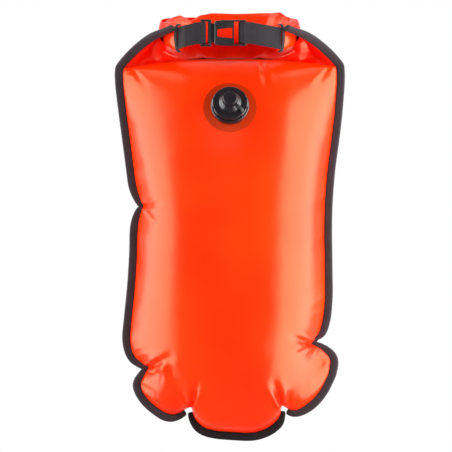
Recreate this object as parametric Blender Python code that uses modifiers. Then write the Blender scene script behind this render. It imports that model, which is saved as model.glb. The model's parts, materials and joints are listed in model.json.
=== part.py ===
"""Open water swim buoy: an inflated dry bag whose rolled mouth is closed by a side-release buckle.

Frame: metres, +Z up along the bag, +X to the viewer's right, -Y out of the front.
The origin is the middle of the loop that the rolled mouth and the buckled straps make.
"""
import math

import bmesh
import bpy
from mathutils import Matrix, Vector

# Bag
SHOULDER_WIDTH = 0.264
BODY_LENGTH = 0.433
CREASE_DROP = 0.0284
FRONT_DEPTH = 0.070
BACK_DEPTH = 0.062
SHEET = 0.0006
CLEARANCE = 0.0003
SEAM_WIDTH = 0.0078
TAPE = 0.001
TAPE_ROUND = 0.0006
TAPE_SETBACK = 0.0012
COLUMNS = 18
TRIM_SHARE = 0.6
LENS_ANGLE = math.radians(68)
TOP_RISE_SHARE = 0.28
BOTTOM_FALL_SHARE = 0.26
RELAX_STEPS = 40
RELAX_FROM = 13

# The seam line's points in the photograph's 452 x 452 frame, chosen by hand: x, y and the share of
# the seam's width that is left where the edge folds into a notch
CENTRE_X_PX = 229.5
CREASE_Y_PX = 59.0
SHOULDER_SPAN_PX = 228.0
BODY_SPAN_PX = 374.0
WHOLE_SHARE = 1.0
LEFT_SEAM_PX_SHARES = [
    (123.0, 68.0, 1.0), (122.5, 74.0, 1.0), (122.8, 81.0, 1.0), (123.5, 90.0, 1.0), (126.5, 114.0, 1.0),
    (130.0, 140.0, 1.0), (133.3, 165.0, 1.0), (136.3, 186.0, 1.0), (140.0, 198.0, 0.8),
    (143.5, 206.5, 0.5), (140.0, 215.0, 0.8), (137.7, 228.0, 1.0), (137.0, 252.0, 1.0),
    (135.0, 285.0, 1.0), (131.5, 320.0, 1.0), (130.0, 340.0, 1.0), (133.5, 355.0, 0.9),
    (141.0, 362.5, 0.7), (149.0, 367.0, 0.5), (144.0, 376.0, 0.8), (140.5, 384.0, 1.0),
    (142.3, 391.5, 1.0),
]
RIGHT_SEAM_PX_SHARES = [
    (336.5, 66.0, 1.0), (337.0, 72.0, 1.0), (337.0, 80.0, 1.0), (336.5, 90.0, 1.0), (334.5, 114.0, 1.0),
    (331.5, 140.0, 1.0), (328.0, 165.0, 1.0), (326.0, 186.0, 1.0), (324.8, 204.0, 1.0),
    (324.3, 222.0, 1.0), (324.3, 240.0, 1.0), (324.6, 258.0, 1.0), (324.8, 276.0, 1.0),
    (325.0, 294.0, 1.0), (324.0, 310.0, 1.0), (322.5, 320.0, 1.0), (319.5, 331.0, 0.9),
    (315.0, 337.0, 0.5), (311.0, 344.0, 0.35), (321.0, 348.5, 0.6), (330.3, 359.0, 1.0),
    (328.8, 373.5, 1.0),
]
BOTTOM_SEAM_PX_SHARES = [
    (142.3, 391.5, 1.0), (148.0, 399.5, 1.0), (157.0, 407.5, 1.0), (168.0, 414.0, 1.0),
    (178.5, 413.5, 0.75), (191.5, 405.5, 0.4), (194.0, 417.0, 0.7), (201.0, 425.5, 1.0),
    (213.0, 430.5, 1.0), (233.0, 432.4, 1.0), (252.0, 433.0, 1.0), (266.0, 429.0, 1.0),
    (276.0, 421.5, 1.0), (280.0, 415.0, 0.65), (282.0, 405.5, 0.4), (293.5, 411.0, 0.75),
    (307.0, 404.5, 1.0), (319.5, 391.5, 1.0), (328.8, 373.5, 1.0),
]
LEFT_NOTCH = 5
RIGHT_NOTCH = 14
CREASE_PX = [(123.0, 68.0), (148.0, 64.5), (176.0, 61.0), (205.0, 59.2), (230.0, 59.0), (256.0, 59.2),
             (284.0, 60.5), (312.0, 63.0), (336.5, 66.0)]

# Rolled mouth, seen from above: part of an ellipse that is open at the front
LOOP_HALF_WIDTH = 0.073
LOOP_HALF_DEPTH = 0.044
LOOP_END_ANGLE = math.radians(129)
ROLL_HALF_THICKNESS = 0.0085
ROLL_HALF_HEIGHT = 0.0185
ROLL_END_HALF_HEIGHT = 0.0165
ROLL_MIDDLE_RISE = 0.0085
ROLL_END_DROP = 0.006
ROLL_TURNS = 1.75
POINTS_A_TURN = 12
START_STEP = 0.1
SPLINE_STEPS = 24
ROLL_LAYER = 2 * SHEET + CLEARANCE
ROLL_PITCH = 0.0034
STIFFENER_THICKNESS = 0.0010
STIFFENER_HEIGHT = 0.013

# Webbing
WEBBING_WIDTH = 0.025
WEBBING = 0.0016
LEFT_TAIL = 0.009
RIGHT_TAIL = 0.012
HANDLE_TOP_PX = 192.0
HANDLE_BOTTOM_PX = 335.0
HANDLE_INSET = 0.034
HANDLE_FOLD_SHARE = 0.8
MOUTH_RUN_SHARE = 0.4
COME_SHARE = 0.1
STRAP_POINTS = 11
BAR_STEPS = 3

# Side-release buckle, flat in the XZ plane
BUCKLE_FORWARD = 0.040
HOUSING_LEFT = -0.0175
HOUSING_RIGHT = 0.020
HOUSING_HEIGHT = 0.0297
HOUSING_THICKNESS = 0.011
HOUSING_ROUND = 0.0022
CHANNEL_HALF_HEIGHT = 0.0122
CHANNEL_THICKNESS = 0.0056
CHANNEL_END = 0.0039
SIDE_WINDOW_LEFT = -0.0065
SIDE_WINDOW_RIGHT = 0.0032
FACE_WINDOW_LEFT = -0.0140
FACE_WINDOW_RIGHT = 0.0032
FACE_WINDOW_NARROW = 0.0087
FACE_WINDOW_WIDE = 0.0128
HOUSING_SLOT_LEFT = 0.0052
HOUSING_SLOT_RIGHT = 0.0120
HOUSING_BAR_RIGHT = 0.0172
SLOT_HEIGHT = 0.0262
BAR_THICKNESS = 0.0034
TONGUE_LEFT = -0.0340
TONGUE_BAR_LEFT = -0.0318
TONGUE_SLOT_LEFT = -0.0289
TONGUE_SLOT_RIGHT = -0.0249
TONGUE_FRAME_RIGHT = -0.0208
TONGUE_HEIGHT = 0.0312
TONGUE_THICKNESS = 0.0072
TONGUE_ROUND = 0.0012
NECK_HEIGHT = 0.0216
PRONG_ROOT = -0.0160
PRONG_TIP = 0.0034
PRONG_THICKNESS = 0.005
PRONG_ARM = 0.0030
PRONG_ARM_OUTER = 0.0108
PRONG_HEAD_OUTER = 0.0143
PRONG_HEAD_LEFT = -0.0061
PRONG_HEAD_RIGHT = -0.0012
PRONG_NOSE = 0.0072

# Valve, its heights measured out of the front panel along the valve's axis
VALVE_DROP = 0.0855
VALVE_SEGMENTS = 36
COLLAR_RADIUS = 0.0219
COLLAR_HEIGHT = 0.006
COLLAR_DEPTH = 0.0062
COLLAR_BEAD = 0.0008
BORE_RADIUS = 0.0172
PATCH_RADIUS = 0.0313
PATCH = 0.0008
SEAL_RADIUS = 0.0010
GRIP_RADIUS = 0.0205
GRIP_HEIGHT = 0.0038
GRIP_ROUND = 0.0009
GRIP_SCALLOPS = 10
SCALLOP_RADIUS = 0.0036
SCALLOP_DEPTH = 0.0010
PLUG_DEPTH = 0.0030
CONE_RADIUS = 0.0145
CONE_STEP = 0.0022
CONE_STEP_RADIUS = 0.0128
SPOUT_SHOULDER_RADIUS = 0.0088
SPOUT_SHOULDER_HEIGHT = 0.0070
SPOUT_RADIUS = 0.0062
SPOUT_HEIGHT = 0.0050
SPOUT_BORE = 0.0043
SPOUT_DRAFT = 0.0006
FLOOR = 0.0012
PORT_RADIUS = 0.0013
PORT_CIRCLE = 0.0027
PORTS = 5
FLAP_RADIUS = 0.0072
FLAP = 0.0008
CAP_WALL = 0.0016
CAP_TOP = 0.0020
CAP_ROUND = 0.0005
TAB_LENGTH = 0.0058
TAB_WIDTH = 0.0042
TAB = 0.0014
TAB_ANGLE = math.radians(149)
HINGE_ANGLE = math.radians(-40)
TETHER_WIDTH = 0.0040
TETHER = 0.0010
TETHER_POINTS = 12
TETHER_RISE_SHARES = (0.3, 0.7)
TAB_TAPER_SHARE = 0.8
SEAL_SEGMENTS = 6
PORT_SEGMENTS = 8
SCALLOP_SEGMENTS = 20
SMALL_SEGMENTS = 24
HOLE_SEGMENTS = 64
WELD_DISTANCE = 0.00001
OVERRUN = 0.004

ORANGE = (1.0, 0.055, 0.003, 1.0)
DARK_TAPE = (0.045, 0.032, 0.034, 1.0)
DARK_WEBBING = (0.05, 0.042, 0.046, 1.0)
BLACK_PLASTIC = (0.012, 0.012, 0.013, 1.0)
CLEAR_ORANGE = (0.45, 0.035, 0.002, 1.0)
PALE_STIFFENER = (0.7, 0.7, 0.7, 1.0)
SOFT_BLACK = (0.02, 0.02, 0.02, 1.0)


def clear_scene():
    for old in list(bpy.data.objects):
        bpy.data.objects.remove(old)


def new_collection(name):
    made = bpy.data.collections.new(name)
    bpy.context.scene.collection.children.link(made)
    return made


def material(name, colour, roughness, metallic=0.0):
    made = bpy.data.materials.new(name)
    made.use_nodes = True
    shader = made.node_tree.nodes["Principled BSDF"]
    shader.inputs["Base Color"].default_value = colour
    shader.inputs["Roughness"].default_value = roughness
    shader.inputs["Metallic"].default_value = metallic
    return made


clear_scene()
PARTS = new_collection("swim_buoy")
CUTTERS = new_collection("cutters")
FABRIC = material("coated_fabric", ORANGE, 0.35)
TAPE_CLOTH = material("binding_tape", DARK_TAPE, 0.8)
WEBBING_CLOTH = material("webbing", DARK_WEBBING, 0.85)
PLASTIC = material("buckle_plastic", BLACK_PLASTIC, 0.45)
VALVE_PLASTIC = material("valve_plastic", BLACK_PLASTIC, 0.25)
SOFT_RUBBER = material("soft_rubber", SOFT_BLACK, 0.5)
WELD_FILM = material("weld_film", CLEAR_ORANGE, 0.4)
STIFFENER = material("stiffener", PALE_STIFFENER, 0.5)


def add_object(name, mesh, cloth, collection=PARTS):
    made = bpy.data.objects.new(name, mesh)
    collection.objects.link(made)
    if cloth is not None:
        mesh.materials.append(cloth)
    return made


def mesh_object(name, points, faces, cloth, collection=PARTS):
    mesh = bpy.data.meshes.new(name)
    mesh.from_pydata([tuple(p) for p in points], [], faces)
    mesh.update()
    return add_object(name, mesh, cloth, collection)


def smooth(thing, angle=math.radians(35)):
    thing.data.shade_smooth()
    thing.data.set_sharp_from_angle(angle=angle)
    return thing


def point_outwards(thing):
    shape = bmesh.new()
    shape.from_mesh(thing.data)
    bmesh.ops.recalc_face_normals(shape, faces=shape.faces)
    shape.to_mesh(thing.data)
    shape.free()
    return thing


def hide_cutter(thing):
    thing.hide_render = True
    thing.display_type = "WIRE"
    return thing


def boolean(thing, other, operation="DIFFERENCE", solver="EXACT"):
    step = thing.modifiers.new(operation.lower(), "BOOLEAN")
    step.operation = operation
    step.solver = solver
    step.object = other
    return thing


def bevel(thing, width, segments=2, angle=math.radians(40)):
    step = thing.modifiers.new("round", "BEVEL")
    step.width = width
    step.segments = segments
    step.limit_method = "ANGLE"
    step.angle_limit = angle
    return thing


def facet(thing):
    """Splits twisted quads the same way everywhere."""
    step = thing.modifiers.new("facets", "TRIANGULATE")
    step.quad_method = "SHORTEST_DIAGONAL"
    return thing


# Curves and grids


def spline(points, count):
    """Points spaced evenly along a smooth curve through the given ones."""
    dense = []
    last = len(points) - 1
    for i in range(last):
        before, start = points[max(i - 1, 0)], points[i]
        end, after = points[i + 1], points[min(i + 2, last)]
        for k in range(SPLINE_STEPS):
            t = k / SPLINE_STEPS
            dense.append(0.5 * (2 * start + (end - before) * t
                                + (2 * before - 5 * start + 4 * end - after) * t ** 2
                                + (3 * start - before - 3 * end + after) * t ** 3))
    dense.append(points[last])
    reach = [0.0]
    for a, b in zip(dense, dense[1:]):
        reach.append(reach[-1] + (b - a).length)
    out = []
    k = 0
    for i in range(count):
        goal = reach[-1] * i / (count - 1)
        while k < len(dense) - 2 and reach[k + 1] < goal:
            k += 1
        span = reach[k + 1] - reach[k]
        out.append(dense[k].lerp(dense[k + 1], (goal - reach[k]) / span))
    return out


def photo_point(x_px, y_px):
    """A point of the seam plane from its place in the photograph."""
    x = (x_px - CENTRE_X_PX) * SHOULDER_WIDTH / SHOULDER_SPAN_PX
    z = -CREASE_DROP - (y_px - CREASE_Y_PX) * BODY_LENGTH / BODY_SPAN_PX
    return Vector((x, 0, z))


def lens(across):
    """Height of an inflated section over its flat chord, 1 in the middle and 0 at either seam."""
    reach = math.sqrt(1 - (across * math.sin(LENS_ANGLE)) ** 2)
    return (reach - math.cos(LENS_ANGLE)) / (1 - math.cos(LENS_ANGLE))


def fullness(down):
    """How full the chamber is at a share of its length: round at the crease and at the bottom."""
    if down < TOP_RISE_SHARE:
        return math.sqrt(1 - (1 - down / TOP_RISE_SHARE) ** 2)
    if down > 1 - BOTTOM_FALL_SHARE:
        return math.sqrt(max(0.0, 1 - ((down - 1 + BOTTOM_FALL_SHARE) / BOTTOM_FALL_SHARE) ** 2))
    return 1.0


LEFT_SEAM = [photo_point(x, y) for x, y, _ in LEFT_SEAM_PX_SHARES]
RIGHT_SEAM = [photo_point(x, y) for x, y, _ in RIGHT_SEAM_PX_SHARES]
CREASE = spline([photo_point(x, y) for x, y in CREASE_PX], COLUMNS + 1)
BOTTOM_SEAM = [photo_point(x, y) for x, y, _ in BOTTOM_SEAM_PX_SHARES]
ROWS = len(LEFT_SEAM) - 1


def lengths_down(points):
    reach = [0.0]
    for a, b in zip(points, points[1:]):
        reach.append(reach[-1] + (b - a).length)
    return [r / reach[-1] for r in reach]


DOWN = [(a + b) / 2 for a, b in zip(lengths_down(LEFT_SEAM), lengths_down(RIGHT_SEAM))]


def seam_plane_grid():
    """Points of the seam plane, row by row, fitted between the four edges."""
    grid = []
    for i, v in enumerate(DOWN):
        row = []
        for j in range(COLUMNS + 1):
            u = j / COLUMNS
            sides = LEFT_SEAM[i] * (1 - u) + RIGHT_SEAM[i] * u
            ends = CREASE[j] * (1 - v) + BOTTOM_SEAM[j] * v
            corners = (LEFT_SEAM[0] * (1 - u) + RIGHT_SEAM[0] * u) * (1 - v)
            corners += (LEFT_SEAM[-1] * (1 - u) + RIGHT_SEAM[-1] * u) * v
            row.append(sides + ends - corners)
        grid.append(row)
    return grid


FLAT = seam_plane_grid()
for _ in range(RELAX_STEPS):
    eased = [row[:] for row in FLAT]
    for i in range(RELAX_FROM, ROWS):
        for j in range(1, COLUMNS):
            eased[i][j] = (FLAT[i - 1][j] + FLAT[i + 1][j] + FLAT[i][j - 1] + FLAT[i][j + 1]) / 4
    FLAT = eased


def body_rows(depth, layer):
    """The body's rows bulged by depth, which is below zero to the front, from a layer of the seam."""
    rows = []
    for i, v in enumerate(DOWN):
        row = []
        for j in range(COLUMNS + 1):
            bulge = depth * lens(2 * j / COLUMNS - 1) * fullness(v)
            row.append(FLAT[i][j] + Vector((0, layer + bulge, 0)))
        rows.append(row)
    return rows


# Rolled mouth and neck


def loop_frame(across, outset=0.0):
    """A point of the mouth's C seen from above, its outward direction and its direction along."""
    angle = across * LOOP_END_ANGLE
    point = Vector((LOOP_HALF_WIDTH * math.sin(angle), LOOP_HALF_DEPTH * math.cos(angle), 0))
    out = Vector((math.sin(angle) / LOOP_HALF_WIDTH, math.cos(angle) / LOOP_HALF_DEPTH, 0)).normalized()
    along = Vector((LOOP_HALF_WIDTH * math.cos(angle), -LOOP_HALF_DEPTH * math.sin(angle), 0))
    return point + out * outset, out, along.normalized()


def roll_middle(across):
    forward = abs(across) ** 3
    return ROLL_MIDDLE_RISE - (ROLL_MIDDLE_RISE + ROLL_END_DROP) * forward


def roll_half_height(across):
    return ROLL_HALF_HEIGHT + (ROLL_END_HALF_HEIGHT - ROLL_HALF_HEIGHT) * abs(across) ** 3


LAYER = SHEET + CLEARANCE
ROLL_SKIN = ROLL_HALF_THICKNESS - ROLL_LAYER / 2
ROLL_START_ANGLE = math.radians(52)
KNEE_ANGLE = math.radians(-80)
KNEE_SHARE = 0.5
END_POWER = 4
EDGE_STANDOFF = 3 * TAPE
EDGE_BULGE_OUT = 0.0044
EDGE_BULGE_BACK = 0.0056
EDGE_BULGE_UP = 0.0096


def roll_point(across, skin, inset, angle):
    """A point of the roll's section: skin is its half thickness there, inset is taken off its height."""
    place, out, _ = loop_frame(across)
    rise = (roll_half_height(across) - inset * (1 + math.sin(angle)) / 2) * math.sin(angle)
    return place + out * skin * math.cos(angle) + Vector((0, 0, roll_middle(across) + rise))


def crease_point(across):
    place = (across + 1) / 2 * COLUMNS
    j = min(int(place), COLUMNS - 1)
    return CREASE[j].lerp(CREASE[j + 1], place - j)


def neck_point(across, up):
    """A point of the neck: up is 0 at the crease, 1 at the knee under the roll, 2 where the roll starts."""
    start = crease_point(across)
    skin, inset = ROLL_SKIN - LAYER / 2, (ROLL_LAYER + LAYER) / 2
    gap = CLEARANCE / roll_half_height(across)
    top = roll_point(across, skin, inset, ROLL_START_ANGLE - gap)
    angle = KNEE_ANGLE + (ROLL_START_ANGLE - gap - KNEE_ANGLE) * max(0.0, up - 1)
    wrapped = roll_point(across, skin, inset, angle)
    if up < 1:
        wrapped = start.lerp(wrapped, up)
    _, out, _ = loop_frame(across)
    share = KNEE_SHARE * up
    bulge = Vector((math.copysign(EDGE_BULGE_OUT, across), EDGE_BULGE_BACK, EDGE_BULGE_UP))
    side = start.lerp(top + out * EDGE_STANDOFF, share) + bulge * 2 * share * (1 - share)
    return wrapped.lerp(side, abs(across) ** END_POWER)


NECK_STEPS = [2.0, 1.85, 1.7, 1.55, 1.4, 1.2, 1.08, 1.0, 0.75, 0.5]


def mitre(first, second, layer):
    """An offset that keeps a layer's distance from the two planes that meet at a bend."""
    return (first + second) * layer / (1 + first.dot(second))


def neck_middle():
    rows = []
    for up in NECK_STEPS + [0]:
        rows.append([neck_point(2 * j / COLUMNS - 1, up) for j in range(COLUMNS + 1)])
    return rows


NECK_GRID = neck_middle()


def neck_normal(i, j):
    """The direction backwards and out of the neck's facets between row i and the row below it."""
    left, right = max(j - 1, 0), min(j + 1, COLUMNS)
    along = NECK_GRID[i][right] - NECK_GRID[i][left] + NECK_GRID[i + 1][right] - NECK_GRID[i + 1][left]
    return (NECK_GRID[i][j] - NECK_GRID[i + 1][j]).cross(along).normalized()


def neck_rows(layer):
    """Rows of the neck from the roll down to just above the crease, set off by a layer's place."""
    rows = []
    for i in range(len(NECK_STEPS)):
        row = []
        for j in range(COLUMNS + 1):
            row.append(NECK_GRID[i][j] + mitre(neck_normal(max(i - 1, 0), j), neck_normal(i, j), layer))
        rows.append(row)
    return rows


def crease_row(layer):
    """The crease where a layer bends from the neck into the flat seam plane."""
    row = []
    for j in range(COLUMNS + 1):
        row.append(FLAT[0][j] + mitre(neck_normal(len(NECK_STEPS) - 1, j), Vector((0, 1, 0)), layer))
    return row


def in_plane_out(ahead):
    """Out of the bag's outline, for a path that runs round it left side down first."""
    return Vector((ahead.z, 0, -ahead.x))


LEFT_SHARES = [share for _, _, share in LEFT_SEAM_PX_SHARES]
RIGHT_SHARES = [share for _, _, share in RIGHT_SEAM_PX_SHARES]
BOTTOM_SHARES = [share for _, _, share in BOTTOM_SEAM_PX_SHARES]


def seam_edges(neck):
    """The outer edge's points: left side top to bottom, bottom left to right, right side top to bottom."""
    rows = len(neck)
    left_in = [row[0] for row in neck] + LEFT_SEAM
    right_in = [row[-1] for row in neck] + RIGHT_SEAM
    round_trip = left_in + BOTTOM_SEAM[1:-1] + right_in[::-1]
    outs = []
    last = len(round_trip) - 1
    for i in range(last + 1):
        ahead = round_trip[min(i + 1, last)] - round_trip[max(i - 1, 0)]
        outs.append(ahead)
    shares = [WHOLE_SHARE] * rows + LEFT_SHARES + BOTTOM_SHARES[1:-1]
    shares += RIGHT_SHARES[::-1] + [WHOLE_SHARE] * rows
    made = []
    for i, (point, ahead) in enumerate(zip(round_trip, outs)):
        side = in_plane_out(ahead)
        if i < rows:
            side = neck_out(ahead, neck[i][0] - neck[i][1])
        if i > last - rows:
            k = last - i
            side = neck_out(ahead, neck[k][-1] - neck[k][-2])
        if i == rows:
            side = CREASE[0] - CREASE[1]
        if i == last - rows:
            side = CREASE[-1] - CREASE[-2]
        made.append((point, side.normalized(), shares[i] * SEAM_WIDTH))
    left = made[:rows + len(LEFT_SEAM)]
    bottom = made[rows + len(LEFT_SEAM) - 1:rows + len(LEFT_SEAM) + COLUMNS]
    right = made[rows + len(LEFT_SEAM) + COLUMNS - 1:][::-1]
    return left, bottom, right


def neck_out(ahead, outward):
    """The part of outward that is square to the edge."""
    way = ahead.normalized()
    return outward - way * outward.dot(way)


NECK_MIDDLE = neck_rows(0)
LEFT_EDGE, BOTTOM_EDGE, RIGHT_EDGE = seam_edges(NECK_MIDDLE)


def sheet(name, rows, with_neck, layer):
    """A fabric sheet: its rows, and the flat seam allowance round its left, bottom and right edges."""
    skip = 0 if with_neck else len(NECK_STEPS)
    points, faces = [], []

    def add(point):
        points.append(point)
        return len(points) - 1

    grid = [[add(p) for p in row] for row in rows]
    shift = Vector((0, layer, 0))
    left, right = [], []
    for i, row in enumerate(rows):
        for edge, corner, side in ((LEFT_EDGE, row[0], left), (RIGHT_EDGE, row[-1], right)):
            _, out, width = edge[i + skip]
            side.append(add(corner + out * width))
    bottom = [left[-1]]
    for point, out, width in BOTTOM_EDGE[1:-1]:
        bottom.append(add(point + out * width + shift))
    bottom.append(right[-1])
    for i in range(len(rows) - 1):
        for j in range(COLUMNS):
            faces.append((grid[i][j], grid[i + 1][j], grid[i + 1][j + 1], grid[i][j + 1]))
        faces.append((left[i], left[i + 1], grid[i + 1][0], grid[i][0]))
        faces.append((grid[i][-1], grid[i + 1][-1], right[i + 1], right[i]))
    low = grid[-1]
    for j in range(COLUMNS):
        faces.append((low[j], bottom[j], bottom[j + 1], low[j + 1]))
    made = mesh_object(name, points, faces, FABRIC)
    thick = made.modifiers.new("thickness", "SOLIDIFY")
    thick.thickness = SHEET
    thick.offset = 0
    return facet(made)


FRONT_ROWS = body_rows(-FRONT_DEPTH, -LAYER)
BACK_ROWS = body_rows(BACK_DEPTH, LAYER)
front_panel = smooth(sheet("front_panel", FRONT_ROWS, False, -LAYER))
dry_bag_front = smooth(sheet("dry_bag_front", NECK_MIDDLE + body_rows(0, 0), True, 0))
BACK_SHEET_ROWS = neck_rows(LAYER) + [crease_row(LAYER)] + BACK_ROWS[1:]
dry_bag_back = smooth(sheet("dry_bag_back", BACK_SHEET_ROWS, True, LAYER))


def roll_section(across):
    """The mouth's spiral section: middle points of the rolled band, outermost first."""
    middle = []
    count = int(ROLL_TURNS * POINTS_A_TURN)
    places = [0, START_STEP] + list(range(1, count + 1))
    for place in places:
        turns = place / POINTS_A_TURN
        angle = ROLL_START_ANGLE + 2 * math.pi * turns
        out = (ROLL_SKIN - ROLL_PITCH * turns) * math.cos(angle)
        up = (roll_half_height(across) - ROLL_LAYER / 2 - ROLL_PITCH * turns) * math.sin(angle)
        middle.append(Vector((out, up)))
    return middle


def band_sides(middle, thickness):
    """Points on either side of a flat path, half a thickness off it."""
    first, second = [], []
    for k, point in enumerate(middle):
        ahead = (middle[min(k + 1, len(middle) - 1)] - middle[max(k - 1, 0)]).normalized()
        side = Vector((-ahead.y, ahead.x)) * thickness / 2
        first.append(point + side)
        second.append(point - side)
    return first, second


def loft(name, sections, cloth):
    """A solid through sections that are bands: two equal rows of points each, capped by quads."""
    points, faces = [], []
    count = len(sections[0][0])
    for first, second in sections:
        points += first + second[::-1]
    ring = 2 * count
    for s in range(len(sections) - 1):
        for k in range(ring):
            a, b = s * ring + k, s * ring + (k + 1) % ring
            faces.append((a, b, b + ring, a + ring))
    for start in (0, (len(sections) - 1) * ring):
        for k in range(count - 1):
            faces.append((start + k, start + k + 1, start + ring - 2 - k, start + ring - 1 - k))
    made = mesh_object(name, points, faces, cloth)
    return point_outwards(made)


def make_roll():
    sections = []
    for j in range(COLUMNS + 1):
        across = 2 * j / COLUMNS - 1
        place, out, _ = loop_frame(across)
        sides = []
        for side in band_sides(roll_section(across), ROLL_LAYER):
            sides.append([place + out * p.x + Vector((0, 0, p.y + roll_middle(across))) for p in side])
        sections.append(sides)
    return smooth(loft("closure_roll", sections, FABRIC))


def make_stiffener():
    sections = []
    half = Vector((0, 0, STIFFENER_HEIGHT / 2))
    for j in range(1, COLUMNS):
        across = 2 * j / COLUMNS - 1
        place, out, _ = loop_frame(across)
        place.z = roll_middle(across)
        side = out * STIFFENER_THICKNESS / 2
        outer = [place + side - half, place + side + half]
        inner = [place - side - half, place - side + half]
        sections.append((outer, inner))
    return loft("stiffener_strip", sections, STIFFENER)


make_roll()
make_stiffener()


# Edge binding


def binding(name, edge, normals, slack_rows=0):
    """Tape folded over the seam: a clip section that follows the outer edge."""
    sections = []
    for k, ((point, out, width), normal) in enumerate(zip(edge, normals)):
        slot = LAYER + SHEET / 2 + CLEARANCE
        if k < slack_rows:
            slot += 2 * CLEARANCE
        face = slot + TAPE
        edge_at = point + out * width
        web = 2 * CLEARANCE
        reach = web + TAPE
        back = -(width - TAPE_SETBACK)
        outer = [(back, face), (reach - TAPE_ROUND, face), (reach, face - TAPE_ROUND),
                 (reach, TAPE_ROUND - face), (reach - TAPE_ROUND, -face), (back, -face)]
        inner = [(back, slot), (web - CLEARANCE / 2, slot), (web, slot - CLEARANCE / 2),
                 (web, CLEARANCE / 2 - slot), (web - CLEARANCE / 2, -slot), (back, -slot)]
        sections.append([[edge_at + out * o + normal * n for o, n in side] for side in (outer, inner)])
    return facet(smooth(loft(name, sections, TAPE_CLOTH)))


def between(low, high, share):
    """An edge point part of the way between two others."""
    seam = low[0].lerp(high[0], share)
    rim = (low[0] + low[1] * low[2]).lerp(high[0] + high[1] * high[2], share)
    return seam, (rim - seam).normalized(), (rim - seam).length


def trimmed(edge, start, end):
    """An edge whose open ends stop short of the notch, where the fabric is folded."""
    out = list(edge)
    if start:
        out[0] = between(edge[1], edge[0], TRIM_SHARE)
    if end:
        out[-1] = between(edge[-2], edge[-1], TRIM_SHARE)
    return out


def side_normals(edge, side):
    """The sheet's own direction along an edge: square to the neck above, +Y round the body."""
    count = len(NECK_STEPS)
    normals = [Vector((0, 1, 0))] * len(edge)
    for i in range(count):
        before, after = edge[max(i - 1, 0)][0], edge[i + 1][0]
        normals[i] = edge[i][1].cross(before - after).normalized() * side
    above = edge[count][1].cross(edge[count - 1][0] - edge[count][0]).normalized() * side
    normals[count] = mitre(above, normals[count], 1)
    return normals


LEFT_PATH = trimmed(LEFT_EDGE[:-1] + BOTTOM_EDGE[:LEFT_NOTCH + 1], False, True)
RIGHT_PATH = trimmed(RIGHT_EDGE[:-1] + BOTTOM_EDGE[:RIGHT_NOTCH - 1:-1], False, True)
BOTTOM_PATH = trimmed(BOTTOM_EDGE[LEFT_NOTCH:RIGHT_NOTCH + 1], True, True)
binding("left_edge_binding", LEFT_PATH, side_normals(LEFT_PATH, 1), len(NECK_STEPS))
binding("right_edge_binding", RIGHT_PATH, side_normals(RIGHT_PATH, -1), len(NECK_STEPS))
binding("bottom_edge_binding", BOTTOM_PATH, [Vector((0, 1, 0))] * len(BOTTOM_PATH))


# Webbing straps


def ribbon(name, path, middles, cloth=WEBBING_CLOTH, width=WEBBING_WIDTH, thickness=WEBBING):
    """A strap whose path lies in plan; middles gives its centre's height at each point."""
    first, second = band_sides([Vector((p.x, p.y)) for p in path], thickness)
    sections = []
    for end in (-width / 2, width / 2):
        rows = []
        for side in (first, second):
            rows.append([Vector((p.x, p.y, z + end)) for p, z in zip(side, middles)])
        sections.append(rows)
    return smooth(loft(name, sections, cloth))


def bar_turn(corner_x, side):
    """Round the far side of a buckle bar: the strap's middle, from the front of the bar to its back."""
    wrap = CLEARANCE + WEBBING / 2
    turn = []
    for corner, start in ((-BAR_THICKNESS / 2, 0), (BAR_THICKNESS / 2, 1)):
        for k in range(BAR_STEPS + 1):
            angle = math.pi / 2 * (start + k / BAR_STEPS - 1)
            turn.append(Vector((corner_x - side * wrap * math.cos(angle),
                                -BUCKLE_FORWARD + corner + wrap * math.sin(angle), 0)))
    return turn


def strap(name, side, bar_near, bar_far, tail):
    """From the roll's end face, round the buckle's bar and back; side is -1 on the left."""
    wrap = BAR_THICKNESS / 2 + CLEARANCE + WEBBING / 2
    end, _, along = loop_frame(side)
    mouth = end + along * side * CLEARANCE
    mouth_out = mouth + along * side * MOUTH_RUN_SHARE * ROLL_HALF_HEIGHT
    near = Vector((bar_near, -BUCKLE_FORWARD - wrap, 0))
    come = near + Vector((side * 2 * wrap, COME_SHARE * wrap, 0))
    run = spline([mouth, mouth_out, come, near], STRAP_POINTS)
    behind = Vector((bar_near, -BUCKLE_FORWARD + wrap, 0))
    back = [behind, behind + Vector((side * tail, 0, 0))]
    path = run + bar_turn(bar_far, side) + back
    middles = [roll_middle(1) * max(0.0, 1 - k / (len(run) - 2)) for k in range(len(path))]
    return ribbon(name, path, middles)


strap("left_closure_strap", -1, TONGUE_BAR_LEFT, TONGUE_SLOT_LEFT, LEFT_TAIL)
strap("right_closure_strap", 1, HOUSING_BAR_RIGHT, HOUSING_SLOT_RIGHT, RIGHT_TAIL)


# Buckle


def plate(name, outline, thickness, cloth, collection=PARTS):
    """A flat outline in X and Z, centred on the buckle's plane."""
    points = []
    count = len(outline)
    for y in (-BUCKLE_FORWARD - thickness / 2, -BUCKLE_FORWARD + thickness / 2):
        points += [(x, y, z) for x, z in outline]
    faces = [tuple(range(count)), tuple(range(2 * count - 1, count - 1, -1))]
    for k in range(count):
        n = (k + 1) % count
        faces.append((k, k + count, n + count, n))
    made = mesh_object(name, points, faces, cloth, collection)
    return point_outwards(made)


def box_outline(left, right, height):
    return [(left, -height / 2), (right, -height / 2), (right, height / 2), (left, height / 2)]


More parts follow.
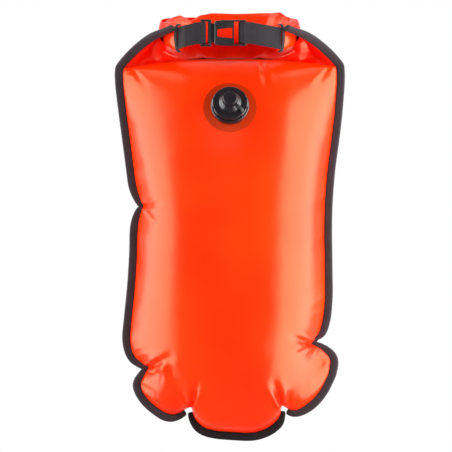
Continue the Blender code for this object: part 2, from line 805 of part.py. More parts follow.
def make_housing():
    waist = HOUSING_HEIGHT / 2 - HOUSING_ROUND / 2
    half = HOUSING_HEIGHT / 2
    shoulder = SIDE_WINDOW_RIGHT + HOUSING_ROUND
    outline = [(HOUSING_LEFT, -waist), (SIDE_WINDOW_LEFT, -half), (shoulder, -half), (HOUSING_RIGHT, -half),
               (HOUSING_RIGHT, half), (shoulder, half), (SIDE_WINDOW_LEFT, half), (HOUSING_LEFT, waist)]
    housing = plate("buckle_housing", outline, HOUSING_THICKNESS, PLASTIC)
    bevel(housing, HOUSING_ROUND, 3)
    inside = box_outline(HOUSING_LEFT - OVERRUN, CHANNEL_END, 2 * CHANNEL_HALF_HEIGHT)
    channel = plate("channel_cutter", inside, CHANNEL_THICKNESS, None, CUTTERS)
    window = plate("side_window_cutter",
                   box_outline(SIDE_WINDOW_LEFT, SIDE_WINDOW_RIGHT, HOUSING_HEIGHT + 2 * OVERRUN),
                   CHANNEL_THICKNESS, None, CUTTERS)
    narrow, wide = FACE_WINDOW_NARROW / 2, FACE_WINDOW_WIDE / 2
    face = plate("face_window_cutter",
                 [(FACE_WINDOW_LEFT, -narrow), (FACE_WINDOW_RIGHT, -wide), (FACE_WINDOW_RIGHT, wide),
                  (FACE_WINDOW_LEFT, narrow)], HOUSING_THICKNESS + 2 * OVERRUN, None, CUTTERS)
    slot = plate("slot_cutter", box_outline(HOUSING_SLOT_LEFT, HOUSING_SLOT_RIGHT, SLOT_HEIGHT),
                 HOUSING_THICKNESS + 2 * OVERRUN, None, CUTTERS)
    for cutter in (channel, window, face, slot):
        boolean(housing, hide_cutter(cutter))
    thinned = box_outline(HOUSING_SLOT_LEFT, HOUSING_RIGHT + OVERRUN, SLOT_HEIGHT)
    for side in (-1, 1):
        relief = plate("bar_relief_cutter", thinned, HOUSING_THICKNESS, None, CUTTERS)
        relief.location.y = side * (HOUSING_THICKNESS + BAR_THICKNESS) / 2
        boolean(housing, hide_cutter(relief))
    end = plate("bar_end_cutter", box_outline(HOUSING_BAR_RIGHT, HOUSING_RIGHT + OVERRUN, SLOT_HEIGHT),
                HOUSING_THICKNESS, None, CUTTERS)
    boolean(housing, hide_cutter(end))
    return housing


def make_tongue():
    half = TONGUE_HEIGHT / 2
    neck = NECK_HEIGHT / 2
    outline = [(TONGUE_LEFT, -half), (TONGUE_FRAME_RIGHT, -half), (TONGUE_FRAME_RIGHT, -neck),
               (PRONG_ROOT - CLEARANCE, -neck), (PRONG_ROOT - CLEARANCE, neck), (TONGUE_FRAME_RIGHT, neck),
               (TONGUE_FRAME_RIGHT, half), (TONGUE_LEFT, half)]
    tongue = plate("buckle_tongue", outline, TONGUE_THICKNESS, PLASTIC)
    bevel(tongue, TONGUE_ROUND, 2)
    slot = plate("tongue_slot_cutter", box_outline(TONGUE_SLOT_LEFT, TONGUE_SLOT_RIGHT, SLOT_HEIGHT),
                 TONGUE_THICKNESS + 2 * OVERRUN, None, CUTTERS)
    boolean(tongue, hide_cutter(slot))
    thinned = box_outline(TONGUE_LEFT - OVERRUN, TONGUE_SLOT_RIGHT, SLOT_HEIGHT)
    neck_face = box_outline(TONGUE_FRAME_RIGHT, PRONG_ROOT + OVERRUN, NECK_HEIGHT + OVERRUN)
    for side in (-1, 1):
        relief = plate("tongue_relief_cutter", thinned, TONGUE_THICKNESS, None, CUTTERS)
        relief.location.y = side * (TONGUE_THICKNESS + BAR_THICKNESS) / 2
        boolean(tongue, hide_cutter(relief))
        lip = plate("tongue_lip_cutter", neck_face, TONGUE_THICKNESS, None, CUTTERS)
        lip.location.y = side * (TONGUE_THICKNESS + PRONG_THICKNESS) / 2
        boolean(tongue, hide_cutter(lip))
    end = plate("tongue_end_cutter", box_outline(TONGUE_LEFT - OVERRUN, TONGUE_BAR_LEFT, SLOT_HEIGHT),
                TONGUE_THICKNESS, None, CUTTERS)
    boolean(tongue, hide_cutter(end))
    return tongue


def make_prong(name, side):
    """A spring arm with a catch that fills the housing's side window; its origin is at its root."""
    inner = PRONG_ARM_OUTER - PRONG_ARM
    outline = [(PRONG_ROOT, inner), (PRONG_HEAD_RIGHT, inner), (PRONG_TIP, PRONG_NOSE),
               (PRONG_TIP, PRONG_ARM_OUTER), (PRONG_HEAD_RIGHT, PRONG_HEAD_OUTER),
               (PRONG_HEAD_LEFT, PRONG_HEAD_OUTER),
               (PRONG_HEAD_LEFT, PRONG_ARM_OUTER), (PRONG_ROOT, PRONG_ARM_OUTER)]
    root = Vector((PRONG_ROOT, -BUCKLE_FORWARD, side * (PRONG_ARM_OUTER - PRONG_ARM / 2)))
    prong = plate(name, [(x, side * z) for x, z in outline], PRONG_THICKNESS, PLASTIC)
    prong.data.transform(Matrix.Translation(-root))
    prong.location = root
    return bevel(prong, PRONG_ARM / 6, 2)


make_housing()
make_tongue()
make_prong("upper_prong", 1)
make_prong("lower_prong", -1)


# Valve


def valve_frame():
    """The valve's axis: out of the front panel's middle column at its drop below the loop."""
    centre = COLUMNS // 2
    i = 0
    while FRONT_ROWS[i + 1][centre].z > -VALVE_DROP:
        i += 1
    high, low = FRONT_ROWS[i][centre], FRONT_ROWS[i + 1][centre]
    point = high.lerp(low, (high.z + VALVE_DROP) / (high.z - low.z))
    down = FRONT_ROWS[i + 2][centre] - FRONT_ROWS[i - 1][centre]
    down.x = 0
    right = Vector((1, 0, 0))
    out = down.cross(right).normalized()
    if out.y > 0:
        out = -out
    up = out.cross(right)
    turn = Matrix((right, up, out)).transposed().to_4x4()
    return Matrix.Translation(point + out * SHEET / 2) @ turn, out


VALVE, VALVE_OUT = valve_frame()


def turned(name, profile, cloth, segments=VALVE_SEGMENTS, collection=PARTS):
    """A profile of radius and height turned round the valve's axis; it runs down its outer side."""
    mesh = bpy.data.meshes.new(name)
    count = len(profile)
    closed = profile[0][0] > 0
    links = [(k, k + 1) for k in range(count - 1)]
    if closed:
        links.append((count - 1, 0))
    mesh.from_pydata([(r, 0, h) for r, h in profile], links, [])
    made = add_object(name, mesh, cloth, collection)
    screw = made.modifiers.new("turn", "SCREW")
    screw.steps = segments
    screw.render_steps = segments
    screw.use_merge_vertices = True
    screw.merge_threshold = WELD_DISTANCE
    screw.use_smooth_shade = True
    made.matrix_world = VALVE
    return made


def settle(thing):
    """Turns the modifiers so far into mesh, so that later pieces join a plain solid."""
    graph = bpy.context.evaluated_depsgraph_get()
    mesh = bpy.data.meshes.new_from_object(thing.evaluated_get(graph))
    thing.modifiers.clear()
    thing.data = mesh
    return thing


def pillar(name, radius, low, high, x, y, vertices):
    shape = bmesh.new()
    bmesh.ops.create_cone(shape, cap_ends=True, segments=vertices, radius1=radius, radius2=radius,
                          depth=high - low)
    mesh = bpy.data.meshes.new(name)
    shape.to_mesh(mesh)
    shape.free()
    made = add_object(name, mesh, None, CUTTERS)
    made.matrix_world = VALVE @ Matrix.Translation((x, y, (low + high) / 2))
    return made


def tube_cutter(name, outer, inner):
    reach = FRONT_DEPTH / 2
    profile = [(outer, reach), (outer, -reach), (inner, -reach), (inner, reach)]
    return hide_cutter(turned(name, profile, None, HOLE_SEGMENTS, CUTTERS))


def make_collar():
    lip = BORE_RADIUS - SEAL_RADIUS
    return turned("valve_collar", [
        (COLLAR_RADIUS - COLLAR_BEAD, COLLAR_HEIGHT), (COLLAR_RADIUS, COLLAR_HEIGHT - COLLAR_BEAD),
        (COLLAR_RADIUS, COLLAR_HEIGHT / 2), (COLLAR_RADIUS - COLLAR_BEAD, COLLAR_HEIGHT / 2 - COLLAR_BEAD),
        (COLLAR_RADIUS - COLLAR_BEAD, -COLLAR_DEPTH), (lip, -COLLAR_DEPTH),
        (lip, -COLLAR_DEPTH + COLLAR_BEAD),
        (BORE_RADIUS, -COLLAR_DEPTH + 2 * COLLAR_BEAD), (BORE_RADIUS, COLLAR_HEIGHT)], VALVE_PLASTIC)


COLLAR_WAIST = COLLAR_RADIUS - COLLAR_BEAD


def make_patch():
    """The weld flange: a ring that lies under the front panel and takes the panel's own curve."""
    depth = SHEET / 2 + CLEARANCE + PATCH / 2
    rows = []
    for i, row in enumerate(FRONT_ROWS):
        out_row = []
        for j, point in enumerate(row):
            up, down = FRONT_ROWS[max(i - 1, 0)][j], FRONT_ROWS[min(i + 1, ROWS)][j]
            left, right = row[max(j - 1, 0)], row[min(j + 1, COLUMNS)]
            inward = (right - left).cross(up - down).normalized()
            if inward.y < 0:
                inward = -inward
            out_row.append(point + inward * depth)
        rows.append(out_row)
    points = [p for row in rows[1:-1] for p in row[1:-1]]
    wide = COLUMNS - 1
    faces = []
    for i in range(len(rows) - 3):
        for j in range(wide - 1):
            a = i * wide + j
            faces.append((a, a + wide, a + wide + 1, a + 1))
    patch = mesh_object("valve_patch", points, faces, WELD_FILM)
    thick = patch.modifiers.new("thickness", "SOLIDIFY")
    thick.thickness = PATCH
    thick.offset = 0
    return boolean(patch, tube_cutter("patch_cutter", PATCH_RADIUS, COLLAR_WAIST + CLEARANCE), "INTERSECT")


GRIP_LOW = COLLAR_HEIGHT + 2 * CLEARANCE + 2 * SEAL_RADIUS
GRIP_TOP = GRIP_LOW + GRIP_HEIGHT
PLUG_RADIUS = BORE_RADIUS - CLEARANCE
SHOULDER_TOP = GRIP_TOP + SPOUT_SHOULDER_HEIGHT
SPOUT_TOP = SHOULDER_TOP + SPOUT_HEIGHT
FLAP_SEAT = -PLUG_DEPTH


def make_seal():
    middle = PLUG_RADIUS + CLEARANCE + SEAL_RADIUS
    height = COLLAR_HEIGHT + CLEARANCE + SEAL_RADIUS
    ring = []
    for k in range(SEAL_SEGMENTS):
        angle = -2 * math.pi * k / SEAL_SEGMENTS
        ring.append((middle + SEAL_RADIUS * math.cos(angle), height + SEAL_RADIUS * math.sin(angle)))
    return turned("insert_seal", ring, SOFT_RUBBER)


def make_insert():
    profile = [
        (0, SPOUT_TOP), (SPOUT_RADIUS - SPOUT_DRAFT, SPOUT_TOP),
        (SPOUT_RADIUS - SPOUT_DRAFT / 4, SPOUT_TOP - 3 * SPOUT_DRAFT), (SPOUT_RADIUS, SHOULDER_TOP),
        (SPOUT_SHOULDER_RADIUS, SHOULDER_TOP),
        (CONE_STEP_RADIUS, GRIP_TOP + CONE_STEP), (CONE_RADIUS, GRIP_TOP + CONE_STEP),
        (CONE_RADIUS, GRIP_TOP),
        (GRIP_RADIUS - GRIP_ROUND, GRIP_TOP), (GRIP_RADIUS, GRIP_TOP - GRIP_ROUND),
        (GRIP_RADIUS, GRIP_LOW + GRIP_ROUND), (GRIP_RADIUS - GRIP_ROUND, GRIP_LOW),
        (PLUG_RADIUS, GRIP_LOW), (PLUG_RADIUS, FLAP_SEAT), (0, FLAP_SEAT),
    ]
    insert = turned("valve_insert", profile, VALVE_PLASTIC)
    bore = turned("bore_cutter", [(0, SPOUT_TOP + OVERRUN), (SPOUT_BORE, SPOUT_TOP + OVERRUN),
                                  (SPOUT_BORE, FLAP_SEAT + FLOOR), (0, FLAP_SEAT + FLOOR)],
                  None, SMALL_SEGMENTS, CUTTERS)
    boolean(insert, hide_cutter(bore), solver="MANIFOLD")
    for k in range(PORTS):
        angle = 2 * math.pi * k / PORTS
        port = pillar("port_cutter", PORT_RADIUS, FLAP_SEAT - OVERRUN, FLAP_SEAT + FLOOR + PORT_RADIUS,
                      PORT_CIRCLE * math.cos(angle), PORT_CIRCLE * math.sin(angle),
                      PORT_SEGMENTS)
        boolean(insert, hide_cutter(port), solver="MANIFOLD")
    for k in range(GRIP_SCALLOPS):
        angle = 2 * math.pi * (k + 0.5) / GRIP_SCALLOPS
        away = GRIP_RADIUS + SCALLOP_RADIUS - SCALLOP_DEPTH
        scallop = pillar("scallop_cutter", SCALLOP_RADIUS, GRIP_LOW - CLEARANCE, GRIP_TOP + OVERRUN,
                         away * math.cos(angle), away * math.sin(angle), SCALLOP_SEGMENTS)
        boolean(insert, hide_cutter(scallop), solver="MANIFOLD")
    return insert


CAP_INNER = SPOUT_RADIUS + CLEARANCE
CAP_OUTER = CAP_INNER + CAP_WALL
CAP_LOW = SHOULDER_TOP + CLEARANCE
CAP_ROOF = SPOUT_TOP + CLEARANCE
CAP_HIGH = CAP_ROOF + CAP_TOP
HINGE_RADIUS = CAP_OUTER + CLEARANCE + TETHER / 2
HINGE_HEIGHT = CAP_LOW + TETHER / 2


def make_cap():
    cap = turned("valve_cap", [
        (0, CAP_HIGH), (CAP_OUTER - CAP_ROUND, CAP_HIGH), (CAP_OUTER, CAP_HIGH - CAP_ROUND),
        (CAP_OUTER, CAP_LOW),
        (CAP_INNER, CAP_LOW), (CAP_INNER, CAP_ROOF), (0, CAP_ROOF)], VALVE_PLASTIC)
    reach = CAP_OUTER - CAP_WALL / 2
    tab = local_box("tab_shape", reach, CAP_OUTER + TAB_LENGTH, TAB_WIDTH, CAP_HIGH - TAB - CAP_ROUND,
                    CAP_HIGH - CAP_ROUND, TAB_ANGLE)
    boolean(cap, hide_cutter(tab), "UNION")
    hinge = VALVE @ hinge_place()
    cap = settle(cap)
    cap.data.transform(hinge.inverted() @ VALVE)
    cap.matrix_world = hinge
    return cap


def hinge_place():
    return Matrix.Translation((HINGE_RADIUS * math.cos(HINGE_ANGLE), HINGE_RADIUS * math.sin(HINGE_ANGLE),
                               HINGE_HEIGHT))


def local_box(name, near, far, width, low, high, angle):
    """A box that runs out from the valve's axis at an angle round it."""
    half, narrow = width / 2, width / 2 * TAB_TAPER_SHARE
    corners = [(near, -half), (far, -narrow), (far, narrow), (near, half)]
    points = [(x, y, low) for x, y in corners] + [(x, y, high) for x, y in corners]
    faces = [(3, 2, 1, 0), (4, 5, 6, 7), (0, 1, 5, 4), (1, 2, 6, 5), (2, 3, 7, 6), (3, 0, 4, 7)]
    made = mesh_object(name, points, faces, None, CUTTERS)
    made.matrix_world = VALVE @ Matrix.Rotation(angle, 4, "Z")
    return made


def make_tether():
    """A moulded strap from the grip ring up to the cap's edge, where it bends as a hinge."""
    foot = GRIP_TOP + CLEARANCE + TETHER / 2
    out = GRIP_RADIUS - GRIP_ROUND - TETHER
    rise = HINGE_HEIGHT - foot
    low, high = TETHER_RISE_SHARES
    path = [Vector((CONE_RADIUS + CLEARANCE + TETHER / 2, foot)), Vector((out, foot)),
            Vector((out + TETHER, foot + low * rise)), Vector((out - TETHER, foot + high * rise)),
            Vector((HINGE_RADIUS + 2 * TETHER, HINGE_HEIGHT)), Vector((CAP_OUTER + CLEARANCE, HINGE_HEIGHT))]
    path = spline(path, TETHER_POINTS)
    first, second = band_sides(path, TETHER)
    sections = []
    for side in (-TETHER_WIDTH / 2, TETHER_WIDTH / 2):
        sections.append([[Vector((p.x, side, p.y)) for p in row] for row in (first, second)])
    tether = smooth(loft("cap_tether", sections, SOFT_RUBBER))
    tether.matrix_world = VALVE @ Matrix.Rotation(HINGE_ANGLE, 4, "Z")
    return tether


def make_flap():
    top = FLAP_SEAT - CLEARANCE
    profile = [(0, top), (FLAP_RADIUS, top), (FLAP_RADIUS, top - FLAP), (0, top - FLAP)]
    return turned("check_flap", profile, SOFT_RUBBER, SMALL_SEGMENTS)


hole = pillar("valve_hole_cutter", COLLAR_WAIST + CLEARANCE, -FRONT_DEPTH / 2, FRONT_DEPTH / 2, 0, 0,
              HOLE_SEGMENTS)
boolean(front_panel, hide_cutter(hole))
make_collar()
make_patch()
make_seal()
make_insert()
make_cap()
make_tether()
make_flap()


# Side handle


def make_handle():
    """Webbing sewn into the right seam at two places, lying down the back panel between them."""
    depth = SHEET / 2 + CLEARANCE + WEBBING / 2
    rows = []
    for i, row in enumerate(BACK_ROWS):
        out_row = []
        for j, point in enumerate(row):
            up, down = BACK_ROWS[max(i - 1, 0)][j], BACK_ROWS[min(i + 1, ROWS)][j]
            left, right = row[max(j - 1, 0)], row[min(j + 1, COLUMNS)]
            outward = (right - left).cross(up - down).normalized()
            if outward.y < 0:
                outward = -outward
            out_row.append(point + outward * depth)
        rows.append(out_row)
    kept = [row[COLUMNS // 2:] for row in rows[1:-1]]
    wide = len(kept[0])
    points = [point for row in kept for point in row]
    faces = []
    for i in range(len(kept) - 1):
        for j in range(wide - 1):
            a = i * wide + j
            faces.append((a, a + wide, a + wide + 1, a + 1))
    handle = mesh_object("side_handle", points, faces, WEBBING_CLOTH)
    thick = handle.modifiers.new("thickness", "SOLIDIFY")
    thick.thickness = WEBBING
    thick.offset = 0
    high = photo_point(CENTRE_X_PX, HANDLE_TOP_PX).z
    low = photo_point(CENTRE_X_PX, HANDLE_BOTTOM_PX).z
    inner = SHOULDER_WIDTH / 2 - HANDLE_INSET - WEBBING_WIDTH
    fold = WEBBING_WIDTH * HANDLE_FOLD_SHARE
    outline = [(SHOULDER_WIDTH, high), (inner + fold, high), (inner, high - fold), (inner, low + fold),
               (inner + fold, low), (SHOULDER_WIDTH, low), (SHOULDER_WIDTH, low + WEBBING_WIDTH),
               (inner + WEBBING_WIDTH, low + WEBBING_WIDTH), (inner + WEBBING_WIDTH, high - WEBBING_WIDTH),
               (SHOULDER_WIDTH, high - WEBBING_WIDTH)]
    reach = 2 * BACK_DEPTH
    cutter = plate("handle_cutter", outline, reach, None, CUTTERS)
    over_binding = LAYER + SHEET / 2 + CLEARANCE + TAPE + CLEARANCE
    cutter.location.y = BUCKLE_FORWARD + over_binding + reach / 2
    return boolean(handle, hide_cutter(cutter), "INTERSECT")


make_handle()
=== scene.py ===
"""Looks of the swim buoy: fabric, binding, roll, webbing, buckle and valve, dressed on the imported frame."""
import bpy
import bmesh
import json
import math
import numpy as np
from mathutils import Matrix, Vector


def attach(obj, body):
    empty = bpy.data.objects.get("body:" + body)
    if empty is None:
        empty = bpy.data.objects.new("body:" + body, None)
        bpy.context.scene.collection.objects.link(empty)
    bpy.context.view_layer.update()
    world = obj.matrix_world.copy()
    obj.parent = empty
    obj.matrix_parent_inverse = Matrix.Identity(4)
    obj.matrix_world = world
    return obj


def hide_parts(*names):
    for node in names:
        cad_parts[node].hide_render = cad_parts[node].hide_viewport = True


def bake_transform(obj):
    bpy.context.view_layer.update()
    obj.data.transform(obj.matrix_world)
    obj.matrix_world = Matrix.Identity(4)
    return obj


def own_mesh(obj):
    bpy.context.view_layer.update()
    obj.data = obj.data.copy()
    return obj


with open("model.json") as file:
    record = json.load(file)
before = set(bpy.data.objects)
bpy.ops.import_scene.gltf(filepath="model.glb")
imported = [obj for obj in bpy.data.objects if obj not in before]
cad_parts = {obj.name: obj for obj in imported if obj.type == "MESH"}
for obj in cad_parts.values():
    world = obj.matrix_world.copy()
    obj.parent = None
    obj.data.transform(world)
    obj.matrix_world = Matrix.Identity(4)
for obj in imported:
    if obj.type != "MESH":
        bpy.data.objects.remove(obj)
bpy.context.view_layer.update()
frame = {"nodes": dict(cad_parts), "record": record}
NODES = frame["nodes"]
rng = np.random.default_rng(7)


# Shader nodes


def math_node(tree, operation, a, b=None):
    made = tree.nodes.new("ShaderNodeMath")
    made.operation = operation
    for k, value in enumerate((a, b)):
        if value is None:
            continue
        if isinstance(value, (int, float)):
            made.inputs[k].default_value = value
        else:
            tree.links.new(value, made.inputs[k])
    return made.outputs[0]


def ramp(tree, source, stops):
    made = tree.nodes.new("ShaderNodeValToRGB")
    elements = made.color_ramp.elements
    while len(elements) < len(stops):
        elements.new(0.5)
    for element, (place, colour) in zip(elements, stops):
        element.position = place
        element.color = (*colour, 1)
    tree.links.new(source, made.inputs[0])
    return made.outputs[0]


def new_material(name):
    made = bpy.data.materials.new(name)
    made.use_nodes = True
    tree = made.node_tree
    return made, tree, tree.nodes["Principled BSDF"]


def noise(tree, vector, scale, detail):
    made = tree.nodes.new("ShaderNodeTexNoise")
    made.inputs["Scale"].default_value = scale
    made.inputs["Detail"].default_value = detail
    tree.links.new(vector, made.inputs["Vector"])
    return made.outputs["Fac"]


def wave(tree, vector, direction, scale, distortion=0.0):
    made = tree.nodes.new("ShaderNodeTexWave")
    made.bands_direction = direction
    made.inputs["Scale"].default_value = scale
    made.inputs["Distortion"].default_value = distortion
    made.inputs["Detail"].default_value = 1.0
    tree.links.new(vector, made.inputs["Vector"])
    return made.outputs["Fac"]


def map_range(tree, source, low, high, start=0.0, end=1.0):
    made = tree.nodes.new("ShaderNodeMapRange")
    made.inputs["From Min"].default_value = start
    made.inputs["From Max"].default_value = end
    made.inputs["To Min"].default_value = low
    made.inputs["To Max"].default_value = high
    tree.links.new(source, made.inputs["Value"])
    return made.outputs[0]


def bump(tree, shader, height, strength, distance, before=None):
    made = tree.nodes.new("ShaderNodeBump")
    made.inputs["Strength"].default_value = strength
    made.inputs["Distance"].default_value = distance
    tree.links.new(height, made.inputs["Height"])
    if before is not None:
        tree.links.new(before, made.inputs["Normal"])
    tree.links.new(made.outputs[0], shader.inputs["Normal"])
    return made.outputs[0]


def coords(tree):
    made = tree.nodes.new("ShaderNodeTexCoord")
    return made.outputs["UV"], made.outputs["Object"]


def vector_node(tree, operation, a, b=None):
    made = tree.nodes.new("ShaderNodeVectorMath")
    made.operation = operation
    tree.links.new(a, made.inputs[0])
    if b is not None:
        made.inputs[1].default_value = b
    return made


def blended(tree, share, first, second):
    mix = tree.nodes.new("ShaderNodeMix")
    mix.data_type = "RGBA"
    tree.links.new(share, mix.inputs["Factor"])
    tree.links.new(first, mix.inputs["A"])
    mix.inputs["B"].default_value = second
    return mix.outputs["Result"]


# Camera and light, at the photograph's level view of the front

MM = 0.001
SHOULDER_WIDTH = 0.264
SHOULDER_PIXELS = 228.0
BODY_LENGTH = 0.433
BODY_PIXELS = 374.0
PX = SHOULDER_WIDTH / SHOULDER_PIXELS
ROW = BODY_LENGTH / BODY_PIXELS
IMAGE = 452
MIDDLE_COLUMN = 229.5
ORIGIN_ROW = 34.5
CREASE_ROW = 59.0
DISTANCE = 5.0
SENSOR = 36.0
FAR_CLIP = 50


def add_camera():
    data = bpy.data.cameras.new("view")
    data.sensor_width = SENSOR
    data.lens = SENSOR * DISTANCE / (IMAGE * PX)
    data.clip_end = FAR_CLIP
    made = bpy.data.objects.new("view", data)
    bpy.context.scene.collection.objects.link(made)
    made.location = ((IMAGE / 2 - MIDDLE_COLUMN) * PX, -DISTANCE, -(IMAGE / 2 - ORIGIN_ROW) * PX)
    made.rotation_euler = (math.radians(90), 0, 0)
    bpy.context.scene.camera = made


WHITE = (1, 1, 1, 1)
FRONT_MIRRORED, BEHIND_MIRRORED = 0.03, 0.7
FRONT_WAY, BEHIND_WAY = -0.1, 0.5
BELOW_SHARE = 0.12
BELOW_WAY, LEVEL_WAY = -0.9, -0.35
BOUNCE_BELOW, BOUNCE_ABOVE = 0.85, 0.2
BOUNCE_DULLED = 0.94


def add_light(name, place, size, power, mirrored, lit):
    """An area light that shows in mirroring surfaces, lights dull ones, or both."""
    data = bpy.data.lights.new(name, "AREA")
    data.shape = "RECTANGLE"
    data.size, data.size_y = size
    data.energy = power
    made = bpy.data.objects.new(name, data)
    made.visible_glossy = mirrored
    made.visible_diffuse = lit
    bpy.context.scene.collection.objects.link(made)
    made.location = place
    made.rotation_euler = (Vector(AIM) - Vector(place)).to_track_quat("-Z", "Y").to_euler()


def add_world():
    """White for the camera, and for the rest a studio that is white behind, dark in front and dark below."""
    world = bpy.data.worlds.new("studio")
    world.use_nodes = True
    bpy.context.scene.world = world
    tree = world.node_tree
    tree.nodes.clear()
    out = tree.nodes.new("ShaderNodeOutputWorld")
    mix = tree.nodes.new("ShaderNodeMixShader")
    soft = tree.nodes.new("ShaderNodeBackground")
    plain = tree.nodes.new("ShaderNodeBackground")
    path = tree.nodes.new("ShaderNodeLightPath")
    way = tree.nodes.new("ShaderNodeTexCoord")
    split = tree.nodes.new("ShaderNodeSeparateXYZ")
    tree.links.new(way.outputs["Generated"], split.inputs[0])
    behind = map_range(tree, split.outputs["Y"], FRONT_MIRRORED, BEHIND_MIRRORED, FRONT_WAY, BEHIND_WAY)
    above = map_range(tree, split.outputs["Z"], BELOW_SHARE, 1.0, BELOW_WAY, LEVEL_WAY)
    behind = math_node(tree, "MULTIPLY", behind, above)
    mirrored = math_node(tree, "MAXIMUM", path.outputs["Is Glossy Ray"], path.outputs["Is Transmission Ray"])
    mirrored = math_node(tree, "MULTIPLY", mirrored, behind)
    tree.links.new(mirrored, mix.inputs[0])
    soft.inputs["Color"].default_value = WHITE
    bounce = map_range(tree, split.outputs["Z"], BOUNCE_BELOW, BOUNCE_ABOVE, -1.0)
    dulled = math_node(tree, "MULTIPLY", path.outputs["Is Glossy Ray"], BOUNCE_DULLED)
    dull = math_node(tree, "SUBTRACT", 1.0, dulled)
    tree.links.new(math_node(tree, "MULTIPLY", bounce, dull), soft.inputs["Strength"])
    plain.inputs["Color"].default_value = WHITE
    seen = tree.nodes.new("ShaderNodeMixShader")
    tree.links.new(soft.outputs[0], mix.inputs[1])
    tree.links.new(plain.outputs[0], mix.inputs[2])
    tree.links.new(path.outputs["Is Camera Ray"], seen.inputs[0])
    tree.links.new(mix.outputs[0], seen.inputs[1])
    tree.links.new(plain.outputs[0], seen.inputs[2])
    tree.links.new(seen.outputs[0], out.inputs["Surface"])


# Name, place, size, power, whether it shows in mirroring surfaces and whether it lights dull ones
LIGHTS = [("left_box", (-1.15, -0.08, -0.1), (0.9, 1.6), 27, True, True),
          ("right_box", (1.12, -0.22, -0.3), (1.05, 2.0), 49, True, True),
          ("front_box", (-0.2, -2.3, 0.7), (1.4, 1.0), 26, False, True),
          ("upper_left_card", (-0.80, 0.10, 0.95), (0.9, 0.9), 7, True, False),
          ("upper_right_card", (0.80, 0.10, 0.95), (0.9, 0.9), 7, True, False)]
AIM = (0, 0, -0.22)
add_camera()
add_world()
for light in LIGHTS:
    add_light(*light)
bpy.context.scene.view_settings.view_transform = "Standard"


# Materials

FILM_ROUGHNESS = (0.20, 0.235)
FILM_SPECULAR = 0.4
FILM_TINT = (1.0, 0.85, 0.45, 1)
WEAVE_STEP = 0.0042
# Each noise's scale and detail
CLOUDS = (9, 2)
DULL_PATCHES = (60, 1)
DIMPLES = (45, 1)
BLOTCHES = (120, 4)
PLASTIC_SHADES = (70, 3)
# Each bump's strength and its height in metres
WEAVE_BUMP = (0.18, 0.0002)
FILM_BUMP = (0.2, 0.002)
THREAD_BUMP = (0.55, 0.0004)
BLOTCH_BUMP = (0.2, 0.0006)
GRAIN_BUMP = (0.12, 0.0002)
WEBBING_ROUGHNESS = (0.65, 0.9)
WEBBING_SPECULAR = 0.3
SHEEN, SHEEN_ROUGHNESS = 0.08, 0.4
RIB_STEP, RIB_SHARE = 4, 0.6
TWILL_STEP, TWILL_SHARE, TWILL_BEND = 3.2, 0.5, 0.6
RING_COLOUR = (0.42, 0.021, 0.001, 1)
RING_RADIUS = 0.0315
RING_STOPS = [(0.0, (0.95, 0.95, 0.95)), (0.965, (1, 1, 1)), (0.985, (0, 0, 0)), (1.0, (0, 0, 0))]
# Painted shade: a dark band low across the neck's middle, where the crease lies in shadow
SHADE_COLOUR = (0.05, 0.002, 0.001, 1)
SHADE_SIZE = (0.055, 0.0062)
SHADE_ALONG_STOPS = [(0.75, (1, 1, 1)), (1.0, (0, 0, 0))]
SHADE_UP_STOPS = [(0.6, (1, 1, 1)), (1.0, (0, 0, 0))]


def fabric_material(name, low, high, ring=None, seam=None):
    """Coated cloth: a fine plain weave under a smooth film, with a welded ring, or a dark band of painted
    shade low in its middle, if asked.
    """
    made, tree, shader = new_material(name)
    uv, place = coords(tree)
    large = noise(tree, place, *CLOUDS)
    colour = ramp(tree, large, [(0.3, low), (0.7, high)])
    rough = map_range(tree, noise(tree, place, *DULL_PATCHES), *FILM_ROUGHNESS)
    if ring is not None:
        centre, radius, axis = ring
        away = vector_node(tree, "SUBTRACT", place, centre).outputs[0]
        across = vector_node(tree, "CROSS_PRODUCT", away, axis).outputs[0]
        gap = vector_node(tree, "LENGTH", across)
        inside = ramp(tree, math_node(tree, "MULTIPLY", gap.outputs["Value"], 1 / radius), RING_STOPS)
        colour = blended(tree, inside, colour, RING_COLOUR)
    # Painted shade: darkens the cloth near the bottom of its middle, as the crease's shadow
    if seam is not None:
        split = tree.nodes.new("ShaderNodeSeparateXYZ")
        tree.links.new(uv, split.inputs[0])
        half_width, rise = seam
        across = math_node(tree, "MULTIPLY", math_node(tree, "ABSOLUTE", split.outputs["X"]), 1 / half_width)
        along = ramp(tree, across, SHADE_ALONG_STOPS)
        height = math_node(tree, "MULTIPLY", split.outputs["Y"], 1 / rise)
        low_down = ramp(tree, height, SHADE_UP_STOPS)
        share = math_node(tree, "MULTIPLY", along, low_down)
        colour = blended(tree, share, colour, SHADE_COLOUR)
    tree.links.new(colour, shader.inputs["Base Color"])
    tree.links.new(rough, shader.inputs["Roughness"])
    shader.inputs["Specular IOR Level"].default_value = FILM_SPECULAR
    shader.inputs["Specular Tint"].default_value = FILM_TINT
    warp = wave(tree, uv, "X", 1 / WEAVE_STEP)
    weft = wave(tree, uv, "Y", 1 / WEAVE_STEP)
    weave = math_node(tree, "MULTIPLY", warp, weft)
    first = bump(tree, shader, weave, *WEAVE_BUMP)
    bump(tree, shader, noise(tree, place, *DIMPLES), *FILM_BUMP, first)
    return made


